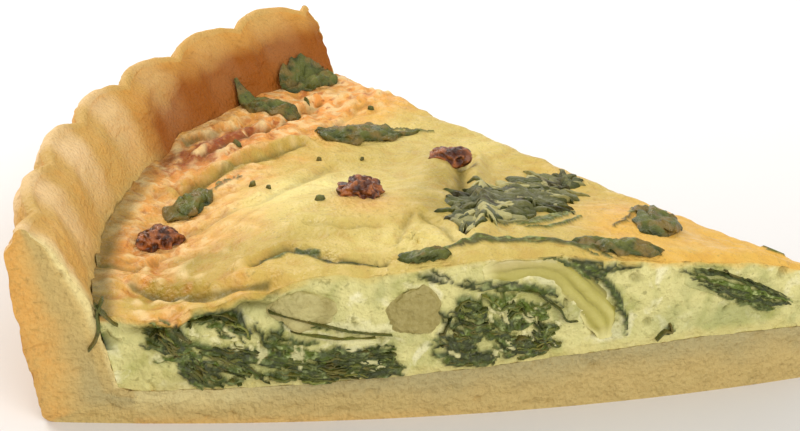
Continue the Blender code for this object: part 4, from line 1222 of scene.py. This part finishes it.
def make_tip_leaf(colours):
    """The folded leaf at the point: dark leaf edges with pale green between them, set into the cut."""
    block = start_block("tip_leaf_packet", ((14, 12), (6,), (32,)))
    along, depth, level = points_of(block).T
    radius = TIP_LEAF[0][0] + (TIP_LEAF[-1][0] - TIP_LEAF[0][0]) * along
    low, high = read_rows(TIP_LEAF, radius, 1), read_rows(TIP_LEAF, radius, 2)
    height = low + (high - low) * level
    at = on_ray(radius, front_angle(radius), height)
    rows = np.linspace(TIP_LEAF[-1][0], TIP_LEAF[0][0], 9)
    guides = []
    for place, count, tone in ((0.93, 6, 0.1), (0.64, 4, 1.0), (0.36, 5, 0.15)):
        line = read_rows(TIP_LEAF, rows, 1) * (1.0 - place) + read_rows(TIP_LEAF, rows, 2) * place
        guides.append((tuple(zip(rows, line)), count, 0.18, tone))
    strands = strands_along(guides, 94, 0.5)
    cover, lift, shade = paint(radius, height, strands)
    fade = blend(0.0, 0.12, level) * blend(1.0, 0.9, level) * blend(0.0, 0.1, along) * blend(1.0, 0.94, along)
    relief = 0.34 * rough(at, 4.6, 61) + 0.15 * noise(at, 1.1, 64) + 0.7 * lift + 0.15 - 0.7 * (1.0 - fade)
    into = depth * 0.38 * radius - np.where(depth < 1e-6, relief, 0.0)
    place_points(block, on_ray(radius, front_angle(radius) + into / radius, height))
    face = (depth < 1e-6).astype(float)
    # Painted shade between the leaf edges inside the packet
    shade_by_leaves = 0.5 * fade * (1.0 - cover)
    custard_cut_masks(block, at, radius, height, face, (cover, shade, 0.0 * cover, shade_by_leaves))
    set_mask(block, "green", 0.6 * face * fade * blend(1.0, 0.8, along))
    finish_piece(block, custard_finish(colours), "folded_leaf", "tip_leaf")
    grids = []
    for k, (line, widths, tone) in enumerate([s for s in strands if s[2] < 0.6][::2]):
        path = on_ray(line[:, 0], front_angle(line[:, 0]), line[:, 1])
        inwards = np.array((0.0, 1.0, 0.0))
        upper, lower = ribbon(path - 0.3 * inwards, inwards, 1.6, 1.1 * float(widths.max()), 0.12, 960 + k)
        grids.append((upper, lower, tone))
    edges = from_grids("tip_leaf_edges", grids)
    finish_piece(edges, spinach_finish("Folded leaf edge", colours, 0.6, 0.05, 0.3), "folded_leaf")


def make_lump(name, size, at_centre, seed, jag):
    """A lump from a fine ball: uneven, pitted and a little flattened."""
    deselect()
    bpy.ops.mesh.primitive_ico_sphere_add(subdivisions=6, radius=1.0)
    ball = bpy.context.object
    ball.name = name
    sized = points_of(ball) * size
    wide = max(size)
    pits = np.abs(noise(sized + seed, 0.42 * wide, seed + 6))
    away = 1.0 + 0.25 * rough(sized + seed, 0.7 * wide, seed)
    away += jag * (0.6 - 1.6 * pits) + 0.4 * jag * noise(sized, 0.2 * wide, seed + 5)
    place_points(ball, sized * away[:, None] + at_centre)
    patches = blend(-0.6, 0.3, noise(sized + seed, 0.3 * wide, seed + 7))
    set_mask(ball, "tone", blend(0.42, 0.05, pits) * patches)
    return ball


def top_of(x, y):
    """The height of the filling's top at places given from the point of the slice."""
    radius = np.maximum(np.hypot(x, y), 1.0)
    angle = np.arctan2(y, -x)
    start = front_angle(radius)
    return top_height(radius, np.clip((angle - start) / (SLICE_ANGLE - start), 0.0, 1.0))


CHEESE_SOFT = 0.55  # how wide the edges of a chunk's face are rounded


def make_cheese(colours):
    """The two beige chunks set into the front cut."""
    for name, node, centre, size, light, seed in (
        ("cheese_chunk_left_piece", "cheese_chunk_left", (84.0, 2.2, 18.4), (5.1, 5.5, 3.4), 0.8, 101),
        ("cheese_chunk_right_piece", "cheese_chunk_right", (67.9, 2.2, 17.8), (4.4, 5.5, 4.5), 0.0, 111),
    ):
        radius, depth, height = centre
        middle = on_ray(np.array([radius]), np.array([front_angle(radius) + depth / radius]), height)[0]
        lump = make_lump(name, np.array(size), middle, seed, 0.02)
        at = points_of(lump) / MM
        face = middle[1] - depth - 0.45 + 0.3 * rough(at, 2.6, seed + 3) + 0.03 * (at[:, 0] - middle[0]) ** 2
        rounded = np.logaddexp(at[:, 1] / CHEESE_SOFT, face / CHEESE_SOFT) * CHEESE_SOFT
        place_points(lump, np.stack([at[:, 0], rounded, at[:, 2]], axis=1))
        set_mask(lump, "light", light * blend(-0.6, 0.2, noise(at, 2.8, seed + 9)))
        finish_piece(lump, cheese_finish(colours), "cheese", node)


BROWNED_BITS = (
    ("browned_bit_left_piece", "browned_bit_left", (-102.8, 21.6), (3.3, 2.8, 1.9), 121, 0.5),
    ("browned_bit_round_piece", "browned_bit_round", (-71.6, 20.6), (3.2, 3.0, 2.0), 131, 0.5),
    ("browned_bit_corner_piece", "browned_bit_corner", (-51.8, 42.8), (3.7, 2.4, 1.7), 141, 0.5),
)


def make_browned_bits(colours):
    """The scorched tips that stand out of the skin."""
    finish = scorched_finish(colours)
    for name, node, (x, y), size, seed, sink in BROWNED_BITS:
        height = float(top_of(np.array([x]), np.array([y]))[0])
        middle = np.array((TIP[0] + x, TIP[1] + y, height + sink))
        lump = make_lump(name, np.array(size), middle, seed, 0.22)
        finish_piece(lump, finish, "browned_bit", node)


LEAVES = (
    ("back_leaf_sheet", "leaf_back", (-78.6, 76.0), 6.4, 2.9, -30.0, 0.25),
    ("rim_leaf_sheet", "leaf_rim", (-68.4, 89.2), 7.2, 3.4, 33.0, 0.2),
    ("middle_leaf_sheet", "leaf_mid", (-63.8, 61.0), 7.6, 4.4, 2.0, 0.45),
    ("left_leaf_sheet", "leaf_left", (-97.2, 34.4), 5.2, 2.8, 45.0, 0.2),
    ("leaf_near_the_tip_sheet", "leaf_near_tip", (-24.8, 13.2), 8.2, 3.5, 69.0, 0.3),
    ("edge_leaf_sheet", "leaf_edge", (-36.5, -1.4), 7.0, 2.6, -6.0, 0.2),
    ("leaf_scrap_sheet", "leaf_scrap", (-66.4, -3.0), 3.8, 1.7, -6.0, 0.1),
)


def leaf_grid(
    x, y, length, width, turn, seed, lift, rows=26, columns=16, crumple=1.0, dome=0.0, bridge=False
):
    """A crumpled leaf laid over the filling: its upper and lower points and the tone of each."""
    u, v = np.meshgrid(np.linspace(-1.0, 1.0, rows), np.linspace(-1.0, 1.0, columns), indexing="ij")
    flat = np.stack([u.ravel() * 3.0, v.ravel() * 3.0, np.full(u.size, seed * 1.7)], axis=1)
    taper = np.sqrt(np.clip(1.0 - np.abs(u) ** 2.6, 0.03, 1.0)).ravel()
    along = u.ravel() * length * (1.0 + 0.15 * noise(flat[:, [1, 0, 2]], 1.4, seed + 1))
    across = v.ravel() * width * taper * (1.0 + 0.32 * noise(flat * (1.0, 0.3, 1.0), 0.9, seed))
    across = across + 0.25 * width * noise(flat * (1.0, 0.0, 1.0), 2.4, seed + 2)
    turn = math.radians(turn)
    px = x + along * math.cos(turn) - across * math.sin(turn)
    py = y + along * math.sin(turn) + across * math.cos(turn)
    ripple = rough(np.stack([px, py, 0 * px + seed], axis=1), 3.0, seed + 2)
    folds = 1.0 - 2.0 * np.abs(noise(np.stack([px, py, 0 * px], axis=1), 2.4, seed + 4))
    radius = np.hypot(px, py)
    start = front_angle(radius)
    turned = np.clip(np.arctan2(py, -px), start + 0.01, start + 0.97 * (SLICE_ANGLE - start))
    px, py = -radius * np.cos(turned), radius * np.sin(turned)
    inner = np.minimum(radius, FILL_RADIUS - 0.6) / radius
    climb = np.clip(radius - FILL_RADIUS + 0.8, 0.0, 3.2) * 1.5
    held = np.minimum(radius, FILL_RADIUS + 2.2) / radius
    edge = np.maximum(np.abs(u), np.abs(v)).ravel()
    ground = top_of(px * inner, py * inner)
    if bridge:
        share = (turned - start) / (SLICE_ANGLE - start)
        ground = np.maximum(ground, plain_top(radius, share) - 0.1)
    height = ground + climb + 0.2 + lift
    height += crumple * (0.5 * np.maximum(ripple, -0.3) + 0.55 * np.maximum(folds, -0.2))
    height += dome * (1.0 - edge**2)
    height -= (0.5 + 0.5 * lift) * edge**6
    middle = np.stack([TIP[0] + px * held, TIP[1] + py * held, height], axis=1).reshape(rows, columns, 3)
    half = np.array((0.0, 0.0, 0.13))
    tone = np.clip((0.4 + 0.5 * folds + 0.35 * ripple) * (1.0 - 0.7 * edge**4), 0.0, 1.0)
    return middle + half, middle - half, tone.reshape(rows, columns)


def make_leaves(colours):
    """The single leaves baked onto the top."""
    dry = spinach_finish("Baked leaf", colours, 0.6, 0.05, 0.8)
    for k, (name, node, (x, y), length, width, turn, lift) in enumerate(LEAVES):
        seed = 150 + 7 * k
        grids = [leaf_grid(x, y, length, width, turn, seed, lift)]
        small = (0.7 * length, 0.7 * width)
        grids.append(leaf_grid(x + 0.8, y - 0.5, *small, turn + 14.0, seed + 3, lift + 0.5))
        if node == "leaf_mid":
            grids.append(leaf_grid(x + 7.5, y + 1.0, 3.6, 0.7, 6.0, seed + 5, 0.0, rows=14, columns=6))
        leaf = from_grids(name, grids)
        finish_piece(leaf, dry, "leaf", node)


def make_top_spinach():
    """The messy heap of spinach baked into the top: a crumpled bed with many strips lying over it."""
    draw = np.random.default_rng(211)
    turn = math.radians(54.0)
    bed_upper, bed_lower, bed_tone = leaf_grid(-45.4, 22.8, 14.5, 6.0, 54.0, 219, 0.1, 60, 32, 0.9, 0.7, True)
    grids = [(bed_upper, bed_lower, 0.2 * bed_tone)]
    for k in range(150):
        along = draw.uniform(-1.4, 1.4)
        across = draw.uniform(-1.0, 1.0) * math.sqrt(max(1.0 - 0.42 * along**2, 0.1))
        x = -44.8 + along * 15.0 * math.cos(turn) - across * 7.0 * math.sin(turn)
        y = 23.7 + along * 15.0 * math.sin(turn) + across * 7.0 * math.cos(turn)
        broad = k % 3 == 0
        length = draw.uniform(1.8, 3.4) if broad else draw.uniform(2.2, 5.0)
        width = draw.uniform(1.0, 2.0) if broad else draw.uniform(0.3, 0.7)
        lean = 56.0 + draw.normal(0.0, 50.0)
        inside = max(1.0 - 0.5 * along**2 - across**2, 0.0)
        height = 0.05 + 1.3 * draw.uniform(0.2, 1.0) * inside
        upper, lower, tone = leaf_grid(x, y, length, width, lean, 220 + k, height, 16, 7, 0.35, 0.0, True)
        light = draw.choice((0.0, 0.15, 0.5, 1.0), p=(0.35, 0.25, 0.22, 0.18))
        grids.append((upper, lower, np.clip(light + 0.3 * (tone - 0.5), 0.0, 1.0)))
    heap = from_grids("top_spinach", grids)
    finish = Finish("Baked top spinach", srgb(80, 84, 26), 380.0, 1500.0)
    finish.cover(finish.grain.outputs["Mottle"], srgb(36, 42, 8), 0.7)
    finish.cover(finish.mask("tone"), srgb(194, 184, 118), 0.9)
    finish.cover(finish.texture(240.0, 3.0, 0.55, 0.66), srgb(58, 46, 26), 0.7)
    finish_piece(heap, finish.done(0.35, 0.65, 0.5, 0.0005, wetness=0.05), "top_spinach", "spinach_top")


# Loose strands over the front cut: points of radius and height, thickness
CUT_STRANDS = (
    (((112.6, 20.4), (113.6, 18.2), (113.2, 16.0), (113.6, 14.0), (114.8, 12.2)), 0.5),
    (((113.8, 19.4), (112.6, 18.0), (111.4, 16.8), (110.6, 16.4)), 0.55),
    (((89.4, 18.6), (84.0, 16.9), (78.0, 15.2), (71.4, 14.3)), 0.26),
    (((30.0, 10.4), (28.6, 11.9), (27.4, 11.4), (27.9, 12.9)), 0.5),
)


def make_cut_strands(colours):
    """The single strands that cross the pastry and the custard at the front cut."""
    grids = []
    for k, (points, thick) in enumerate(CUT_STRANDS):
        places, at = np.linspace(0.0, 1.0, len(points)), np.linspace(0.0, 1.0, 22)
        radius = np.interp(at, places, [point[0] for point in points])
        height = np.interp(at, places, [point[1] for point in points])
        for _ in range(3):
            radius[1:-1] = (radius[:-2] + radius[1:-1] + radius[2:]) / 3.0
            height[1:-1] = (height[:-2] + height[1:-1] + height[2:]) / 3.0
        inwards = np.array((0.0, 1.0, 0.0))
        path = on_ray(radius, front_angle(radius), height) - 0.5 * inwards
        grids.append((*ribbon(path, inwards, 1.4, thick, 0.12, 330 + k), 0.35))
    strands = from_grids("cut_strands", grids)
    finish_piece(strands, spinach_finish("Olive strand", colours, 0.5, 0.1), "leaf")


def make_crumbs(shapes, colours):
    """Small dark leaf flecks baked into the top."""
    draw = np.random.default_rng(401)
    grids = []
    for k in range(shapes.crumbs):
        radius = math.sqrt(draw.uniform(0.05, 0.95)) * 110.0
        angle = float(angle_at(np.array([radius]), draw.uniform(0.05, 0.95))[0])
        x, y = -radius * math.cos(angle), radius * math.sin(angle)
        size = draw.uniform(0.25, 0.5)
        turn = draw.uniform(0.0, 180.0)
        grids.append(leaf_grid(x, y, size * 1.8, size, turn, 410 + k, 0.0, 7, 6, 0.5, 0.2))
    flecks = from_grids("leaf_flecks", grids)
    finish_piece(flecks, spinach_finish("Baked fleck", colours, 0.6, 0.1), "leaf")


def camera_axes(azimuth, elevation, roll):
    """The camera's right, up and back directions."""
    azimuth, elevation, roll = map(math.radians, (azimuth, elevation, roll))
    level = math.cos(elevation)
    look = Vector((math.sin(azimuth) * level, math.cos(azimuth) * level, -math.sin(elevation)))
    right = Vector((math.cos(azimuth), -math.sin(azimuth), 0.0))
    up = right.cross(look)
    turned_right = right * math.cos(roll) + up * math.sin(roll)
    turned_up = up * math.cos(roll) - right * math.sin(roll)
    return turned_right, turned_up, -look


CAMERA_PLACE = (-121.9, -227.15, 135.73)  # from the point of the slice
CAMERA_TURN = (12.93, 24.21, 3.14)  # degrees round, down and rolled
SENSOR_WIDTH = 36.0
LIGHT_WATTS = 4.0  # watts for a power of 1


def make_stage(stage):
    """The floor, the soft lights and the camera."""
    deselect()
    bpy.ops.mesh.primitive_grid_add(x_subdivisions=2, y_subdivisions=40, size=1.0, location=(0.0, 0.0, 0.0))
    floor = bpy.context.object
    floor.name = "Floor"
    unit = points_of(floor)
    x, y = unit[:, 0] * 4.0, unit[:, 1] * 3.0 + 0.4
    rise = np.clip(y - 0.55, 0.0, None)
    swept = np.stack([x, y - 0.35 * blend(0.0, 1.3, rise) * rise, rise**2 * 0.8], axis=1)
    floor.data.vertices.foreach_set("co", swept.ravel())
    floor.data.update()
    made = bpy.data.materials.new("Pale floor")
    made.use_nodes = True
    nodes, links = made.node_tree.nodes, made.node_tree.links
    places = nodes.new("ShaderNodeTexCoord")
    split = nodes.new("ShaderNodeSeparateXYZ")
    # Painted light: the floor runs from light grey at the front to near white at the back, for the bright
    # backdrop
    fade = nodes.new("ShaderNodeMapRange")
    fade.inputs["From Min"].default_value = -0.03
    fade.inputs["From Max"].default_value = 0.12
    ramp = nodes.new("ShaderNodeMix")
    ramp.data_type = "RGBA"
    ramp.inputs[6].default_value = (*srgb(230, 226, 222), 1.0)
    ramp.inputs[7].default_value = (*srgb(252, 250, 248), 1.0)
    links.new(places.outputs["Object"], split.inputs[0])
    links.new(split.outputs["Y"], fade.inputs["Value"])
    links.new(fade.outputs["Result"], ramp.inputs[0])
    links.new(ramp.outputs[2], nodes["Principled BSDF"].inputs["Base Color"])
    nodes["Principled BSDF"].inputs["Roughness"].default_value = 0.6
    floor.data.materials.append(made)
    world = bpy.data.worlds.new("Soft white room")
    bpy.context.scene.world = world
    world.use_nodes = True
    world.node_tree.nodes["Background"].inputs["Color"].default_value = (1.0, 1.0, 1.0, 1.0)
    world.node_tree.nodes["Background"].inputs["Strength"].default_value = stage.sky
    for name, place, power, size, colour in (
        ("Key light", (-0.45, 0.6, 0.6), stage.key_power * LIGHT_WATTS, 0.5, (1.0, 0.99, 0.97)),
        ("Front fill", (0.25, -0.8, 0.5), stage.fill_power * LIGHT_WATTS, 0.7, (1.0, 1.0, 1.0)),
    ):
        light = bpy.data.lights.new(name, "AREA")
        light.energy = power
        light.size = size
        light.color = colour
        lamp = bpy.data.objects.new(name, light)
        lamp.location = place
        lamp.rotation_euler = (Vector((0.0, 0.0, 0.01)) - Vector(place)).to_track_quat("-Z", "Y").to_euler()
        bpy.context.scene.collection.objects.link(lamp)
    camera = bpy.data.objects.new("Camera", bpy.data.cameras.new("Camera"))
    right, up, back = camera_axes(*CAMERA_TURN)
    place = Matrix((right, up, back)).transposed().to_4x4()
    place.translation = Vector((TIP[0] + CAMERA_PLACE[0], TIP[1] + CAMERA_PLACE[1], CAMERA_PLACE[2])) * MM
    camera.matrix_world = place
    camera.data.lens = stage.lens
    camera.data.sensor_width = SENSOR_WIDTH
    bpy.context.scene.collection.objects.link(camera)
    bpy.context.scene.camera = camera
    bpy.context.scene.view_settings.view_transform = "Standard"


class QUICHE_OT_pastry(bpy.types.Operator):
    """Model the fluted pastry and give it its finish."""

    bl_idname = "quiche.pastry"
    bl_label = "Fluted pastry"

    def execute(self, context):
        make_pastry(context.scene.quiche_shapes, context.scene.quiche_colours)
        return {"FINISHED"}


class QUICHE_OT_custard(bpy.types.Operator):
    """Model the custard with its folds, browning and cut sides."""

    bl_idname = "quiche.custard"
    bl_label = "Egg custard"

    def execute(self, context):
        make_custard(context.scene.quiche_shapes, context.scene.quiche_colours)
        return {"FINISHED"}


class QUICHE_OT_spinach(bpy.types.Operator):
    """Model the two wads of spinach that show at the cuts."""

    bl_idname = "quiche.spinach"
    bl_label = "Spinach wads"

    def execute(self, context):
        shapes, colours = context.scene.quiche_shapes, context.scene.quiche_colours
        make_wad("outer_spinach", OUTER_WAD, "spinach_outer", shapes.outer_leaves, 171, colours)
        make_wad("inner_spinach", INNER_WAD, "spinach_inner", shapes.inner_leaves, 271, colours)
        return {"FINISHED"}


class QUICHE_OT_fillings(bpy.types.Operator):
    """Model the onion, the folded leaf and the cheese in the front cut."""

    bl_idname = "quiche.fillings"
    bl_label = "Pieces in the cut"

    def execute(self, context):
        make_onion(context.scene.quiche_colours)
        make_tip_leaf(context.scene.quiche_colours)
        make_cheese(context.scene.quiche_colours)
        make_cut_strands(context.scene.quiche_colours)
        return {"FINISHED"}


class QUICHE_OT_top(bpy.types.Operator):
    """Model the leaves, the heap of spinach and the scorched tips on top."""

    bl_idname = "quiche.top"
    bl_label = "Pieces on top"

    def execute(self, context):
        make_leaves(context.scene.quiche_colours)
        make_top_spinach()
        make_browned_bits(context.scene.quiche_colours)
        make_crumbs(context.scene.quiche_shapes, context.scene.quiche_colours)
        return {"FINISHED"}


class QUICHE_OT_stage(bpy.types.Operator):
    """Set the floor, the lights and the camera."""

    bl_idname = "quiche.stage"
    bl_label = "Floor, lights and camera"

    def execute(self, context):
        make_stage(context.scene.quiche_stage)
        return {"FINISHED"}


class QUICHE_PT_panel(bpy.types.Panel):
    """Lists the sizes, the colours and the steps."""

    bl_idname = "QUICHE_PT_panel"
    bl_label = "Spinach quiche"
    bl_space_type = "VIEW_3D"
    bl_region_type = "UI"
    bl_category = "Quiche"

    def draw(self, context):
        for group in (context.scene.quiche_shapes, context.scene.quiche_colours, context.scene.quiche_stage):
            box = self.layout.box()
            for name in group.__annotations__:
                box.prop(group, name)
        for step in STEPS:
            self.layout.operator(step.bl_idname)


STEPS = (
    QUICHE_OT_stage, QUICHE_OT_pastry, QUICHE_OT_custard, QUICHE_OT_spinach, QUICHE_OT_fillings, QUICHE_OT_top
)
CLASSES = (QuicheShapes, QuicheColours, QuicheStage, *STEPS, QUICHE_PT_panel)


def register():
    for cls in CLASSES:
        bpy.utils.register_class(cls)
    bpy.types.Scene.quiche_shapes = bpy.props.PointerProperty(type=QuicheShapes)
    bpy.types.Scene.quiche_colours = bpy.props.PointerProperty(type=QuicheColours)
    bpy.types.Scene.quiche_stage = bpy.props.PointerProperty(type=QuicheStage)


def unregister():
    del bpy.types.Scene.quiche_stage
    del bpy.types.Scene.quiche_colours
    del bpy.types.Scene.quiche_shapes
    for cls in reversed(CLASSES):
        bpy.utils.unregister_class(cls)


def main():
    register()
    bpy.ops.quiche.stage()
    bpy.ops.quiche.pastry()
    bpy.ops.quiche.custard()
    bpy.ops.quiche.spinach()
    bpy.ops.quiche.fillings()
    bpy.ops.quiche.top()


if __name__ == "__main__":
    main()
